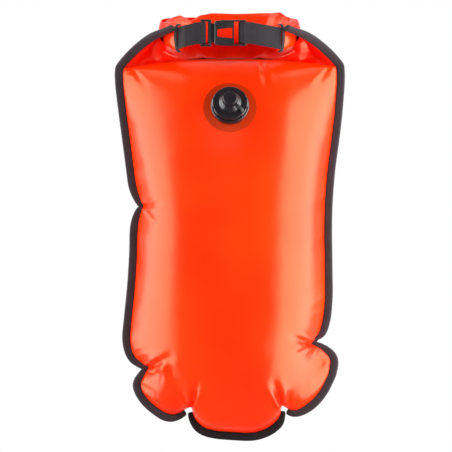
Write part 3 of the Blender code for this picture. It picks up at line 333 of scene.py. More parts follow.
def webbing_material(name, dark, light, rib):
    """Woven tape: ribs across it and a fine twill along it, paler on its high threads with painted shade
    between them, and blotches of uneven tone.
    """
    made, tree, shader = new_material(name)
    uv, place = coords(tree)
    ribs = wave(tree, uv, "X", 1 / (rib * RIB_STEP))
    twill = wave(tree, uv, "DIAGONAL", 1 / (rib * TWILL_STEP), TWILL_BEND)
    ribs = math_node(tree, "MULTIPLY", ribs, RIB_SHARE)
    twill = math_node(tree, "MULTIPLY", twill, TWILL_SHARE)
    weave = math_node(tree, "ADD", ribs, twill)
    blotch = noise(tree, place, *BLOTCHES)
    # Painted shade: the colour darkens where the weave is low; the blotches are uneven tone
    half_weave = math_node(tree, "MULTIPLY", weave, 0.5)
    half_blotch = math_node(tree, "MULTIPLY", blotch, 0.5)
    tone = math_node(tree, "ADD", half_weave, half_blotch)
    tree.links.new(ramp(tree, tone, [(0.25, dark), (0.8, light)]), shader.inputs["Base Color"])
    tree.links.new(map_range(tree, blotch, *WEBBING_ROUGHNESS), shader.inputs["Roughness"])
    shader.inputs["Specular IOR Level"].default_value = WEBBING_SPECULAR
    shader.inputs["Sheen Weight"].default_value = SHEEN
    shader.inputs["Sheen Roughness"].default_value = SHEEN_ROUGHNESS
    first = bump(tree, shader, weave, *THREAD_BUMP)
    bump(tree, shader, blotch, *BLOTCH_BUMP, first)
    return made


FINE_GRAIN = 900
VALVE_GRAIN = 500
PALER = 1.6


def plastic_material(name, base, low, high, grain=FINE_GRAIN):
    """Moulded plastic of uneven shade, with a roughness from low to high and a fine grain."""
    made, tree, shader = new_material(name)
    _, place = coords(tree)
    fine = noise(tree, place, grain, 2)
    large = noise(tree, place, *PLASTIC_SHADES)
    paler = tuple(c * PALER for c in base)
    tree.links.new(ramp(tree, large, [(0.3, base), (0.75, paler)]), shader.inputs["Base Color"])
    tree.links.new(map_range(tree, large, low, high), shader.inputs["Roughness"])
    bump(tree, shader, fine, *GRAIN_BUMP)
    return made


JOINTS = {joint["name"]: joint for joint in frame["record"]["behaviour"]["joints"]}
VALVE_AT = Vector(JOINTS["insert_turn"]["pos_m"])
VALVE_OUT = Vector(JOINTS["insert_turn"]["axis"]).normalized()
CAP_PIVOT = Vector(JOINTS["cap_swing"]["pos_m"])
ORANGE_LOW = (0.97, 0.018, 0.0)
ORANGE_HIGH = (1.0, 0.036, 0.0002)
# Painted shade: the neck's cloth is a darker, redder copy of the orange cloth, standing in for the shade
# under the roll
PAINTED_SHADE_NECK_LOW = (0.74, 0.003, 0.0)
PAINTED_SHADE_NECK_HIGH = (0.84, 0.007, 0.0001)
WELD_RING = (tuple(VALVE_AT), RING_RADIUS, tuple(VALVE_OUT))
FABRIC = fabric_material("coated_fabric", ORANGE_LOW, ORANGE_HIGH, ring=WELD_RING)
BACK_FABRIC = fabric_material("coated_fabric_plain", ORANGE_LOW, ORANGE_HIGH)
NECK_FABRIC_PAINTED_SHADE = fabric_material("coated_fabric_neck_painted_shade", PAINTED_SHADE_NECK_LOW, PAINTED_SHADE_NECK_HIGH, seam=SHADE_SIZE)
TAPE_RIB = 0.0008
WEBBING_RIB = 0.0011
TAPE = webbing_material("binding_tape", (0.016, 0.010, 0.013), (0.050, 0.034, 0.040), TAPE_RIB)
# Painted shade: the bottom binding is a darker copy of the same tape, for the shade under the bag
BOTTOM_TAPE_PAINTED_SHADE = webbing_material("binding_tape_bottom_painted_shade", (0.005, 0.003, 0.004), (0.017, 0.011, 0.014), TAPE_RIB)
WEBBING = webbing_material("webbing", (0.010, 0.008, 0.010), (0.036, 0.029, 0.033), WEBBING_RIB)
BUCKLE = plastic_material("buckle_plastic", (0.012, 0.012, 0.0135), 0.34, 0.5)
GLOSS = plastic_material("valve_plastic", (0.012, 0.009, 0.011), 0.22, 0.36, VALVE_GRAIN)
RUBBER = plastic_material("soft_rubber", (0.014, 0.014, 0.014), 0.4, 0.55)
STIFF = plastic_material("stiffener", (0.5, 0.5, 0.48), 0.4, 0.5)


# The seam's flat outline, in the photograph's columns and rows; the third value is the binding's width share

CREASE_DROP = 0.0284
FRONT_DEPTH = 0.070
BACK_DEPTH = 0.062
LENS_ANGLE = math.radians(68)
TOP_RISE_SHARE = 0.28
BOTTOM_FALL_SHARE = 0.26
LEFT = [(123, 68, 1), (122.5, 74, 1), (122.8, 81, 1), (123.5, 90, 1), (126.5, 114, 1), (130, 140, 1),
        (133.3, 165, 1), (136.3, 186, 1), (140, 198, .8), (143.5, 206.5, .5), (140, 215, .8), (137.7, 228, 1),
        (137, 252, 1), (135, 285, 1), (131.5, 320, 1), (130, 340, 1), (133.5, 355, .9), (141, 362.5, .7),
        (149, 367, .5), (144, 376, .8), (140.5, 384, 1), (142.3, 391.5, 1)]
RIGHT = [(336.5, 66, 1), (337, 72, 1), (337, 80, 1), (336.5, 90, 1), (334.5, 114, 1), (331.5, 140, 1),
         (328, 165, 1), (326, 186, 1), (324.8, 204, 1), (324.3, 222, 1), (324.3, 240, 1), (324.6, 258, 1),
         (324.8, 276, 1), (325, 294, 1), (324, 310, 1), (322.5, 320, 1), (319.5, 331, .9), (315, 337, .5),
         (311, 344, .35), (321, 348.5, .6), (330.3, 359, 1), (328.8, 373.5, 1)]
BOTTOM = [(142.3, 391.5, 1), (148, 399.5, 1), (157, 407.5, 1), (168, 414, 1), (178.5, 413.5, .75),
          (191.5, 405.5, .4), (194, 417, .7), (201, 425.5, 1), (213, 430.5, 1), (233, 432.4, 1),
          (252, 433, 1), (266, 429, 1), (276, 421.5, 1), (280, 415, .65), (282, 405.5, .4),
          (293.5, 411, .75), (307, 404.5, 1), (319.5, 391.5, 1), (328.8, 373.5, 1)]
CREASE = [(123, 68), (148, 64.5), (176, 61), (205, 59.2), (230, 59), (256, 59.2), (284, 60.5), (312, 63),
          (336.5, 66)]
FINE = 4
CREASE_FINE = 12
NOTCH_SHARE = 0.5
RELAXED_ACROSS = 900
RELAXED_DOWN = 500
FIRST_RELAXED = 13 * FINE - 1


def photo(x, y):
    """A column and row of the photograph as a place in the seam's plane."""
    return np.array([(x - MIDDLE_COLUMN) * PX, 0.0, -CREASE_DROP - (y - CREASE_ROW) * ROW])


def catmull(points, steps, corners=()):
    """A smooth run through the points, with its tangent broken at the corners."""
    points = np.asarray(points, float)
    last = len(points) - 1
    out = []
    for i in range(last):
        p1, p2 = points[i], points[i + 1]
        p0 = 2 * p1 - p2 if i == 0 or i in corners else points[i - 1]
        p3 = 2 * p2 - p1 if i + 1 == last or i + 1 in corners else points[i + 2]
        for k in range(steps):
            t = k / steps
            out.append(0.5 * (2 * p1 + (p2 - p0) * t + (2 * p0 - 5 * p1 + 4 * p2 - p3) * t ** 2
                              + (3 * p1 - p0 - 3 * p2 + p3) * t ** 3))
    out.append(points[last])
    return np.array(out)


def reach_along(points):
    """Each point's distance from the first, measured along the run."""
    return np.r_[0, np.cumsum(np.linalg.norm(np.diff(points, axis=0), axis=1))]


def unit_rows(rows):
    return rows / np.linalg.norm(rows, axis=1, keepdims=True)


def ways_ahead(points):
    """Unit directions along a run of points."""
    return unit_rows(np.gradient(points, axis=0))


def even(points, count):
    """The same run with its points spaced evenly."""
    reach = reach_along(points)
    goal = np.linspace(0, reach[-1], count)
    return np.stack([np.interp(goal, reach, points[:, k]) for k in range(points.shape[1])], axis=1)


def seam_run(table):
    """A seam's points and binding shares, with a corner at each notch."""
    corners = [i for i, row in enumerate(table) if row[2] <= NOTCH_SHARE]
    run = [list(photo(x, y)) + [share] for x, y, share in table]
    return catmull(run, FINE, corners)


LEFT_RUN, RIGHT_RUN, BOTTOM_RUN = seam_run(LEFT), seam_run(RIGHT), seam_run(BOTTOM)
COLS = len(BOTTOM_RUN) - 1
ROWS = len(LEFT_RUN) - 1
CREASE_RUN = even(catmull([photo(x, y) for x, y in CREASE], CREASE_FINE), COLS + 1)


def down_shares(run):
    """How far down its run each point is, from 0 to 1."""
    reach = reach_along(run[:, :3])
    return reach / reach[-1]


V = (down_shares(LEFT_RUN) + down_shares(RIGHT_RUN)) / 2
U = np.linspace(0, 1, COLS + 1)


def relax(field, rounds):
    """Evens the field out between its borders, which stay."""
    for _ in range(rounds):
        field[1:-1, 1:-1] = (field[:-2, 1:-1] + field[2:, 1:-1] + field[1:-1, :-2] + field[1:-1, 2:]) / 4


def seam_plane():
    """A flat grid between the seams and the crease, its lines evened out."""
    left, right, bottom = LEFT_RUN[:, :3], RIGHT_RUN[:, :3], BOTTOM_RUN[:, :3]
    u, v = U[None, :, None], V[:, None, None]
    sides = left[:, None] * (1 - u) + right[:, None] * u
    ends = CREASE_RUN[None] * (1 - v) + bottom[None] * v
    corners = (left[0] * (1 - u) + right[0] * u) * (1 - v) + (left[-1] * (1 - u) + right[-1] * u) * v
    grid = sides + ends - corners
    relax(grid[:, :, 0], RELAXED_ACROSS)
    relax(grid[FIRST_RELAXED:, :, 2], RELAXED_DOWN)
    return grid


FLAT = seam_plane()


def lens(a):
    """The bulge across the bag: an arc that is 1 in the middle and 0 at both seams."""
    return (np.sqrt(1 - (a * math.sin(LENS_ANGLE)) ** 2) - math.cos(LENS_ANGLE)) / (1 - math.cos(LENS_ANGLE))


def fullness(v):
    """The bulge down the bag: it rises from the crease, stays full and falls to the bottom seam."""
    out = np.ones_like(v)
    top = v < TOP_RISE_SHARE
    out[top] = np.sqrt(1 - (1 - v[top] / TOP_RISE_SHARE) ** 2)
    low = v > 1 - BOTTOM_FALL_SHARE
    out[low] = np.sqrt(np.maximum(0, 1 - ((v[low] - 1 + BOTTOM_FALL_SHARE) / BOTTOM_FALL_SHARE) ** 2))
    return out


def grid_normals(grid):
    """Unit normals of a grid of points."""
    down = np.gradient(grid, axis=0)
    along = np.gradient(grid, axis=1)
    out = np.cross(down, along)
    return out / np.maximum(np.linalg.norm(out, axis=2, keepdims=True), 1e-12)


FOLD_FADE = 1.5
FOLD_START = 0.35
RIDGE_SHARE = 0.45
RIDGE_PLACE = 1.9


def fold(grid, start, end, depth, width):
    """How far a fold from start to end sinks the fabric, with a soft ridge on both sides."""
    a, b = photo(*start)[[0, 2]], photo(*end)[[0, 2]]
    p = grid[:, :, [0, 2]]
    way = b - a
    length = np.linalg.norm(way)
    t = ((p - a) @ way) / length ** 2
    d = np.abs((p - a) @ np.array([-way[1], way[0]]) / length)
    wide = width * (FOLD_START + (1 - FOLD_START) * np.clip(t, 0, 1))
    along = np.where(t < 0, np.exp(-(t * length / width) ** 2), np.clip(1 - t, 0, 1) ** FOLD_FADE)
    ridge = RIDGE_SHARE * np.exp(-((d - RIDGE_PLACE * wide) / wide) ** 2)
    return depth * along * (np.exp(-(d / wide) ** 2) - ridge)


PUCKER_DEPTH = 0.0011
PUCKER_LENGTHS = (0.0093, 0.0147, 0.023, 0.041)
PUCKER_REACH = 0.012
PUCKER_SETBACK = 0.003
GREATEST_PHASE = 6.28
# One more phase is drawn than there are waves
PHASES = 5


def puckers(grid):
    """Small gathers where the fabric leaves the seam: a sum of waves that start at random phases."""
    out = np.zeros(grid.shape[:2])
    for seam, edge_axis in ((grid[:, 0], 0), (grid[:, -1], 0), (grid[-1], 1)):
        reach = reach_along(seam)
        phase = rng.uniform(0, GREATEST_PHASE, PHASES)
        swing = sum(np.sin(2 * math.pi * reach / w + f) for w, f in zip(PUCKER_LENGTHS, phase))
        gap = np.linalg.norm(grid - (seam[:, None] if edge_axis == 0 else seam[None]), axis=2)
        local = swing[:, None] if edge_axis == 0 else swing[None]
        out += PUCKER_DEPTH * local * np.exp(-gap / PUCKER_REACH) * np.clip(gap / PUCKER_SETBACK, 0, 1)
    return out


def add_mesh(name, points, faces, material, uv=None):
    mesh = bpy.data.meshes.new(name)
    mesh.from_pydata([tuple(map(float, p)) for p in points], [], faces)
    mesh.update()
    made = bpy.data.objects.new(name, mesh)
    bpy.context.scene.collection.objects.link(made)
    mesh.materials.append(material)
    if uv is not None:
        layer = mesh.uv_layers.new(name="cloth")
        index = np.empty(len(mesh.loops), dtype=np.int32)
        mesh.loops.foreach_get("vertex_index", index)
        layer.data.foreach_set("uv", np.asarray(uv, np.float32)[index].ravel())
    mesh.shade_smooth()
    return made


def grid_uv(grid):
    """Cloth coordinates in metres, so that weaves keep their size."""
    along = np.linalg.norm(np.diff(grid, axis=1), axis=2)
    down = np.linalg.norm(np.diff(grid, axis=0), axis=2)
    u = np.concatenate([np.zeros((grid.shape[0], 1)), np.cumsum(along, axis=1)], axis=1)
    v = np.concatenate([np.zeros((1, grid.shape[1])), np.cumsum(down, axis=0)], axis=0)
    return np.stack([u - u[:, u.shape[1] // 2][:, None], v], axis=2).reshape(-1, 2)


def grid_faces(rows, cols, flip=False):
    faces = []
    for i in range(rows - 1):
        for j in range(cols - 1):
            a = i * cols + j
            quad = (a, a + cols, a + cols + 1, a + 1)
            faces.append(quad[::-1] if flip else quad)
    return faces


def thicken(made, thickness):
    step = made.modifiers.new("thickness", "SOLIDIFY")
    step.thickness = thickness
    step.offset = 0.0


def subdivide(made):
    step = made.modifiers.new("smooth", "SUBSURF")
    step.levels = 1
    step.render_levels = 1


# Body

# Each fold's start and end in the photograph's columns and rows, its depth and its width
NOTCH_FOLDS = [
    ((143.5, 206.5), (170, 203), 0.005, 0.0045), ((143.5, 206.5), (157, 190), 0.003, 0.003),
    ((143.5, 206.5), (158, 226), 0.003, 0.003), ((149, 367), (178, 352), 0.008, 0.006),
    ((149, 367), (168, 376), 0.003, 0.004), ((191.5, 405.5), (199, 372), 0.010, 0.0055),
    ((191.5, 405.5), (176, 384), 0.004, 0.004), ((282, 405.5), (271, 374), 0.010, 0.0055),
    ((282, 405.5), (296, 384), 0.004, 0.004), ((311, 344), (283, 333), 0.008, 0.006),
    ((311, 344), (292, 356), 0.004, 0.004),
]
FRONT_FOLDS = NOTCH_FOLDS + [
    ((262, 60), (267, 93), 0.0050, 0.004), ((248, 60), (243, 78), 0.0018, 0.003),
    ((214, 60), (211, 74), 0.0015, 0.003), ((131, 67), (150, 92), 0.003, 0.004),
    ((330, 66), (313, 92), 0.003, 0.004), ((165, 372), (170, 415), -0.0025, 0.012),
]
BACK_FOLDS = NOTCH_FOLDS + [((205, 60), (200, 96), 0.004, 0.005), ((150, 64), (170, 100), 0.003, 0.005),
                            ((290, 62), (276, 104), 0.0035, 0.005)]


SHEET = 0.0006
LAYER = 0.0009


def inflated(depth, layer):
    """An inflated sheet's grid of points, free of folds, and its unit normals out of the bag."""
    bulge = depth * lens(2 * U - 1)[None, :] * fullness(V)[:, None]
    grid = FLAT.copy()
    grid[:, :, 1] += layer + bulge
    normal = grid_normals(grid)
    side = -1.0 if depth < 0 else 1.0
    return grid, normal * np.sign(normal[ROWS // 2, COLS // 2, 1]) * side


HOLE_RADIUS = 0.0205
HOLE_REACH = 0.03
LEAST_HEIGHT = 0.002
TOP_FADE, BOTTOM_FADE = 60, 40


def body_skin(name, depth, layer, folds, material, hole):
    """One inflated sheet with its folds and gathers, and with the valve's hole if asked."""
    grid, normal = inflated(depth, layer)
    sink = sum(fold(grid, *line) for line in folds) - puckers(grid)
    edge = np.minimum(np.minimum(U, 1 - U)[None, :] * COLS, (1 - V)[:, None] * BOTTOM_FADE)
    sink *= np.clip(edge, 0, 1) * np.clip(V[:, None] * TOP_FADE, 0, 1)
    sink = np.minimum(sink, np.maximum(np.abs(grid[:, :, 1]) - LEAST_HEIGHT, 0))
    grid -= normal * sink[:, :, None]
    points = grid.reshape(-1, 3)
    uv = grid_uv(grid)
    faces = grid_faces(ROWS + 1, COLS + 1, flip=depth > 0)
    if hole:
        centre, out = np.array(VALVE_AT), np.array(VALVE_OUT)
        rel = points - centre
        flat = rel - np.outer(rel @ out, out)
        radius = np.linalg.norm(flat, axis=1)
        near = (radius < HOLE_RADIUS) & (np.abs(rel @ out) < HOLE_REACH)
        faces = [f for f in faces if not all(near[k] for k in f)]
        scale = HOLE_RADIUS / np.maximum(radius[near], 1e-6)
        points[near] = centre + flat[near] * scale[:, None] + np.outer((rel @ out)[near], out)
    made = add_mesh(name, points, faces, material, uv)
    thicken(made, SHEET)
    subdivide(made)
    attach(made, "bag")
    return made


front = body_skin("bag_front", -FRONT_DEPTH, -LAYER, FRONT_FOLDS, FABRIC, True)
back = body_skin("bag_back", BACK_DEPTH, LAYER, BACK_FOLDS, BACK_FABRIC, False)
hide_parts("front_panel", "valve_patch")
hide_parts("dry_bag_back")


# Neck and roll

CLEARANCE = 0.0003
LOOP_X, LOOP_Y = 0.073, 0.044
LOOP_END = math.radians(129)
ROLL_T, ROLL_H, ROLL_END_H = 0.0085, 0.0185, 0.0165
ROLL_RISE = 0.0085
ROLL_END_FALL = 0.0145
BAND = 2 * SHEET + CLEARANCE
SKIN = ROLL_T - BAND / 2
START = math.radians(52)
KNEE = math.radians(-80)
SHOULDER_BULGE = (0.0044, 0.0056, 0.0096)
SHOULDER_STANDOFF = 0.003


def loop_at(p):
    """Place, outward direction and direction along the roll's loop in plan, for p from -1 to 1."""
    a = p * LOOP_END
    place = np.array([LOOP_X * math.sin(a), LOOP_Y * math.cos(a), 0])
    out = np.array([math.sin(a) / LOOP_X, math.cos(a) / LOOP_Y, 0])
    along = np.array([LOOP_X * math.cos(a), -LOOP_Y * math.sin(a), 0])
    return place, out / np.linalg.norm(out), along / np.linalg.norm(along)


def roll_mid(p):
    """Height of the roll's middle line, which falls towards both ends."""
    return ROLL_RISE - ROLL_END_FALL * abs(p) ** 3


def roll_half(p):
    """Half of the roll's height, which is a little less towards both ends."""
    return ROLL_H + (ROLL_END_H - ROLL_H) * abs(p) ** 3


def roll_at(p, skin, inset, angle):
    """A place on the roll's skin, or inset from it, at an angle round its section."""
    place, out, _ = loop_at(p)
    rise = (roll_half(p) - inset * (1 + math.sin(angle)) / 2) * math.sin(angle)
    return place + out * skin * math.cos(angle) + np.array([0, 0, roll_mid(p) + rise])


def crease_at(p):
    """A place on the crease, for p from -1 to 1."""
    place = (p + 1) / 2 * COLS
    j = min(int(place), COLS - 1)
    return CREASE_RUN[j] * (1 - place + j) + CREASE_RUN[j + 1] * (place - j)


def neck_at(p, up):
    """A place on the neck: up is 0 at the crease, 1 under the roll and 2 where the roll begins."""
    start = crease_at(p)
    skin, inset = SKIN - LAYER / 2, (BAND + LAYER) / 2
    top_angle = START - CLEARANCE / roll_half(p)
    top = roll_at(p, skin, inset, top_angle)
    wrapped = roll_at(p, skin, inset, KNEE + (top_angle - KNEE) * max(0.0, up - 1))
    if up < 1:
        wrapped = start * (1 - up) + wrapped * up
    _, out, _ = loop_at(p)
    share = up / 2
    bulge = np.array([math.copysign(SHOULDER_BULGE[0], p), *SHOULDER_BULGE[1:]])
    side = start * (1 - share) + (top + out * SHOULDER_STANDOFF) * share + bulge * 2 * share * (1 - share)
    end_share = abs(p) ** 4
    return wrapped * (1 - end_share) + side * end_share


NECK_STEPS = 8
NECK_MIDDLE = NECK_STEPS // 2
NECK_UPS = list(np.linspace(0, 1, NECK_STEPS + 1)[:-1]) + list(np.linspace(1, 2, NECK_STEPS + 1))
NECK = np.array([[neck_at(p, up) for p in np.linspace(-1, 1, COLS + 1)] for up in NECK_UPS])


PLEAT_NARROWING = 0.75
PLEATS_END = 1.35
PLEAT_TAPER = 3
PLEATS_RISE, PLEATS_FALL = 6, 4


def pleat(start, end, height, width):
    """A sharp raised or sunk line on the neck, wider towards its start, in shares of width and height."""
    p = np.linspace(-1, 1, COLS + 1)[None, :]
    up = np.array(NECK_UPS)[:, None]
    t = np.clip((up - start[1]) / (end[1] - start[1]), 0, 1)
    middle = start[0] + (end[0] - start[0]) * t
    wide = width * (1 - PLEAT_NARROWING * t)
    return height * np.clip(1 - np.abs(p - middle) / wide, 0, 1) * np.clip((1 - t) * PLEAT_TAPER, 0, 1)


NECK_SHEET = 0.0013
TUCK = (0, 0.0004, -0.0022)
# Each pleat's start and end as (share of width, share of height), its height and its width
NECK_LINES = [((-0.54, 0.0), (-0.95, 1.7), 0.0075, 0.15), ((-0.73, 0.0), (-0.97, 1.7), -0.0075, 0.16),
              ((0.53, 0.0), (0.95, 1.7), 0.0075, 0.15), ((0.77, 0.0), (0.97, 1.7), -0.0075, 0.17),
              ((0.26, 0.0), (0.36, 1.0), 0.0030, 0.07), ((0.17, 0.0), (0.22, 1.0), -0.0025, 0.06),
              ((-0.24, 0.0), (-0.30, 1.0), 0.0030, 0.07), ((-0.1, 0.0), (-0.08, 1.0), -0.0020, 0.06)]


def make_neck():
    """The neck's front sheet, pleated below the roll, with its lower edge tucked behind the body, in cloth
    that is darker as painted shade.
    """
    out = grid_normals(NECK)
    out *= -np.sign(out[NECK_MIDDLE, COLS // 2, 2])
    lift = sum(pleat(*line) for line in NECK_LINES)
    ups = np.array(NECK_UPS)[:, None]
    fade = np.clip(ups * PLEATS_RISE, 0, 1) * np.clip((PLEATS_END - ups) * PLEATS_FALL, 0, 1)
    grid = NECK + out * (LAYER / 2 - (lift * fade)[:, :, None])
    tuck = grid[:1] + np.array(TUCK)
    grid = np.concatenate([tuck, grid])
    faces = grid_faces(len(grid), COLS + 1)
    made = add_mesh("neck", grid.reshape(-1, 3), faces, NECK_FABRIC_PAINTED_SHADE, grid_uv(grid))
    thicken(made, NECK_SHEET)
    subdivide(made)
    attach(made, "bag")
    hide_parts("dry_bag_front")


make_neck()


def band_sides(middle, thickness):
    """The two faces of a band of the given thickness round its middle line."""
    ahead = ways_ahead(middle)
    side = np.stack([-ahead[:, 1], ahead[:, 0]], axis=1) * thickness / 2
    return middle + side, middle - side


def loft(name, rings, material, uv=None):
    """A skin over closed rings of points, with its ends filled."""
    rings = np.asarray(rings)
    count, size = rings.shape[:2]
    faces = []
    for i in range(count - 1):
        for k in range(size):
            a, b = i * size + k, i * size + (k + 1) % size
            faces.append((a, b, b + size, a + size))
    faces.append(tuple(range(size))[::-1])
    faces.append(tuple(range((count - 1) * size, count * size)))
    points = rings.reshape(-1, 3)
    if uv is None:
        girth = np.concatenate([np.zeros((count, 1)),
                                np.cumsum(np.linalg.norm(np.diff(rings, axis=1), axis=2), axis=1)], axis=1)
        reach = reach_along(rings.mean(axis=1))
        uv = np.stack([np.repeat(reach[:, None], size, axis=1), girth], axis=2).reshape(-1, 2)
    made = add_mesh(name, points, faces, material, uv)
    shape = bmesh.new()
    shape.from_mesh(made.data)
    bmesh.ops.recalc_face_normals(shape, faces=shape.faces)
    shape.to_mesh(made.data)
    shape.free()
    return made


TURNS = 1.75
ROLL_PITCH = 0.0034
ROLL_STATIONS = 129
ROLL_STEPS = 44
LEAN, LEAN_WAVES, LEAN_FADE = 0.05, 9, 8
FOLD_EDGE = math.radians(50)
# The roll's upper outline as (share of its length, rise in mm)
TOP_LINE = [(-1, 0), (-0.8, -3.5), (-0.66, -6.2), (-0.57, -6.0), (-0.45, -2.6), (-0.35, -7.2), (-0.29, -6.0),
            (-0.22, -2.0), (-0.12, 0.2), (0.18, -0.4), (0.27, 1.4), (0.38, 0.7), (0.5, -2.8), (0.62, -5.0),
            (0.8, -3.0), (1, 0)]
# The places of the roll's folds along it, and how many mm each stands out
FOLDS_AT = [-1, -0.93, -0.83, -0.72, -0.61, -0.52, -0.44, -0.35, -0.27, -0.17, -0.06, 0.09, 0.19, 0.28,
            0.36, 0.46, 0.55, 0.63, 0.74, 0.85, 0.94, 1]
FOLDS_OUT = [0, 0.4, -0.9, 0.5, -1.1, 0.3, 0.9, -1.5, 0.8, -0.2, 0.3, -0.3, 0.5, -1.1, 0.9, -0.8, 0.5,
             -1.2, 0.6, -0.8, 0.5, 0]


def make_roll():
    """The rolled mouth: a spiral band in flat facets between crisp folds that lean across it."""
    stations = np.linspace(-1, 1, ROLL_STATIONS)
    turns = np.linspace(0, TURNS, ROLL_STEPS)
    rings = []
    for p in stations:
        place, out, _ = loop_at(p)
        angle = START + 2 * math.pi * turns
        leaning = p + LEAN * np.sin(angle) * math.cos(p * LEAN_WAVES) * min(1, (1 - abs(p)) * LEAN_FADE)
        swell = np.interp(leaning, FOLDS_AT, FOLDS_OUT) * MM * np.clip(1 - turns, 0, 1)
        top = np.interp(leaning, [x for x, _ in TOP_LINE], [y for _, y in TOP_LINE]) * MM
        top *= np.clip(np.sin(angle), 0, 1)
        x = (SKIN - ROLL_PITCH * turns + swell) * np.cos(angle)
        z = (roll_half(p) - BAND / 2 - ROLL_PITCH * turns + swell) * np.sin(angle) + top
        first, second = band_sides(np.stack([x, z], axis=1), BAND)
        ring = np.concatenate([first, second[::-1]])
        rings.append(place + out * ring[:, :1] + np.array([0, 0, 1]) * (ring[:, 1:] + roll_mid(p)))
    made = loft("roll", rings, BACK_FABRIC)
    made.data.set_sharp_from_angle(angle=FOLD_EDGE)
    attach(made, "bag")
    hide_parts("closure_roll")


make_roll()


# Edge binding

TAPE_WIDTH = 0.0078
TAPE_PROUD = 0.0014
TAPE_FOLD_INSET = 0.0003
TAPE_EDGE_INSET = 0.0017
TAPE_SETBACK = 0.0009
NOTCH_SETBACK = 0.003
TAPE_AT_ROLL, TAPE_NEAR_CREASE, TAPE_ON_SEAM = 0.0062, 0.0060, 0.0046
TAPE_TURN = 1.1
NOTCH_THICKNESS_SHARE = 0.75
SMOOTHED_PAST_CREASE = 6
TAPE_EASE = 4
TAPE_SMOOTHINGS = 6
FRONT_AND_UP = np.array([0, 1, 0.3])
# Steps along the bottom seam from its two ends to its notches, and steps left bare beside a notch
LEFT_LOW_STEPS, RIGHT_LOW_STEPS = 5 * FINE, 4 * FINE
TRIMMED = 2


def edge_path(side):
    """Seam points, outward directions and widths from the roll down the side to the bottom notch."""
    run = LEFT_RUN if side < 0 else RIGHT_RUN
    column, inner = (0, 1) if side < 0 else (-1, -2)
    neck = NECK[:0:-1, column]
    towards = neck - NECK[:0:-1, inner]
    low = BOTTOM_RUN[1:LEFT_LOW_STEPS + 1] if side < 0 else BOTTOM_RUN[::-1][1:RIGHT_LOW_STEPS + 1]
    points = np.concatenate([neck, run[:, :3], low[:, :3]])
    shares = np.concatenate([np.ones(len(neck)), run[:, 3], low[:, 3]])
    return points, shares, towards


def out_of(points, side):
    """Directions out of the bag at points along a seam, and the steps ahead along it."""
    ahead = np.gradient(points, axis=0)
    out = np.stack([ahead[:, 2], np.zeros(len(points)), -ahead[:, 0]], axis=1) * -side
    return unit_rows(out), ahead


def smooth_rows(rows, rounds):
    """Directions evened out along their run, its two ends apart."""
    rows = rows.copy()
    for _ in range(rounds):
        rows[1:-1] = (rows[:-2] + rows[2:] + 2 * rows[1:-1]) / 4
    return unit_rows(rows)


def tape_rings(points, out, normal, shares, thickness):
    """Round-edged folded tape: thin at its sewn inner edge and full at its fold."""
    rings = []
    for p, o, n, s, thick in zip(points, out, normal, shares, thickness):
        width = TAPE_WIDTH * s + TAPE_PROUD
        half = thick / 2 * (NOTCH_THICKNESS_SHARE + (1 - NOTCH_THICKNESS_SHARE) * s)
        inner = -TAPE_SETBACK - NOTCH_SETBACK * (1 - s)
        upper = [(inner, 0.72), (inner + TAPE_EDGE_INSET, 0.98), (width * 0.55, 1.0),
                 (width - TAPE_PROUD, 0.92), (width - TAPE_FOLD_INSET, 0.55)]
        lower = [(a, -b) for a, b in reversed(upper)]
        outline = upper + [(width, 0.0)] + lower
        rings.append([p + o * a + n * b * half for a, b in outline])
    return rings


def side_binding(name, side, replaced):
    """Binding from the roll down the neck and one side, turned towards the front on the neck."""
    points, shares, towards = edge_path(side)
    count = len(towards)
    out, ahead = out_of(points, side)
    normal = np.tile(np.array([0.0, 1.0, 0.0]), (len(points), 1))
    for k, way in enumerate(towards):
        step = ahead[k] / np.linalg.norm(ahead[k])
        out[k] = way - step * (way @ step)
        out[k] /= np.linalg.norm(out[k])
        facing = np.array([step[2], 0.0, -step[0]]) * -side
        out[k] += facing / np.linalg.norm(facing) * TAPE_TURN * (1 - k / count)
        out[k] -= step * (out[k] @ step)
        out[k] /= np.linalg.norm(out[k])
        normal[k] = np.cross(out[k], step) * side
        if normal[k] @ FRONT_AND_UP < 0:
            normal[k] = -normal[k]
    corner = (CREASE_RUN[0] - CREASE_RUN[1]) if side < 0 else (CREASE_RUN[-1] - CREASE_RUN[-2])
    out[count] = corner / np.linalg.norm(corner)
    smoothed = count + SMOOTHED_PAST_CREASE
    out[:smoothed] = smooth_rows(out[:smoothed], TAPE_SMOOTHINGS)
    normal[:smoothed] = smooth_rows(normal[:smoothed], TAPE_SMOOTHINGS)
    trimmed = slice(0, len(points) - TRIMMED)
    thickness = np.interp(np.arange(len(points)), [0, count - TAPE_EASE, count + TAPE_EASE],
                          [TAPE_AT_ROLL, TAPE_NEAR_CREASE, TAPE_ON_SEAM])
    rings = tape_rings(points[trimmed], out[trimmed], normal[trimmed], shares[trimmed], thickness)
    made = loft(name, rings, TAPE)
    subdivide(made)
    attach(made, "bag")
    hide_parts(replaced)


side_binding("left_tape", -1, "left_edge_binding")
side_binding("right_tape", 1, "right_edge_binding")


def bottom_binding():
    """Binding of the bottom lobe, between its two notches."""
    run = BOTTOM_RUN[LEFT_LOW_STEPS:COLS - RIGHT_LOW_STEPS + 1]
    out, _ = out_of(run[:, :3], -1)
    flat = np.tile(np.array([0.0, 1.0, 0.0]), (len(run), 1))
    kept = slice(TRIMMED, len(run) - TRIMMED)
    rings = tape_rings(run[kept, :3], out[kept], flat[kept], run[kept, 3], np.full(len(run), TAPE_ON_SEAM))
    # The darker tape here is painted shade
    made = loft("bottom_tape", rings, BOTTOM_TAPE_PAINTED_SHADE)
    subdivide(made)
    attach(made, "bag")
    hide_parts("bottom_edge_binding")


bottom_binding()


EDGE_STEPS = 40
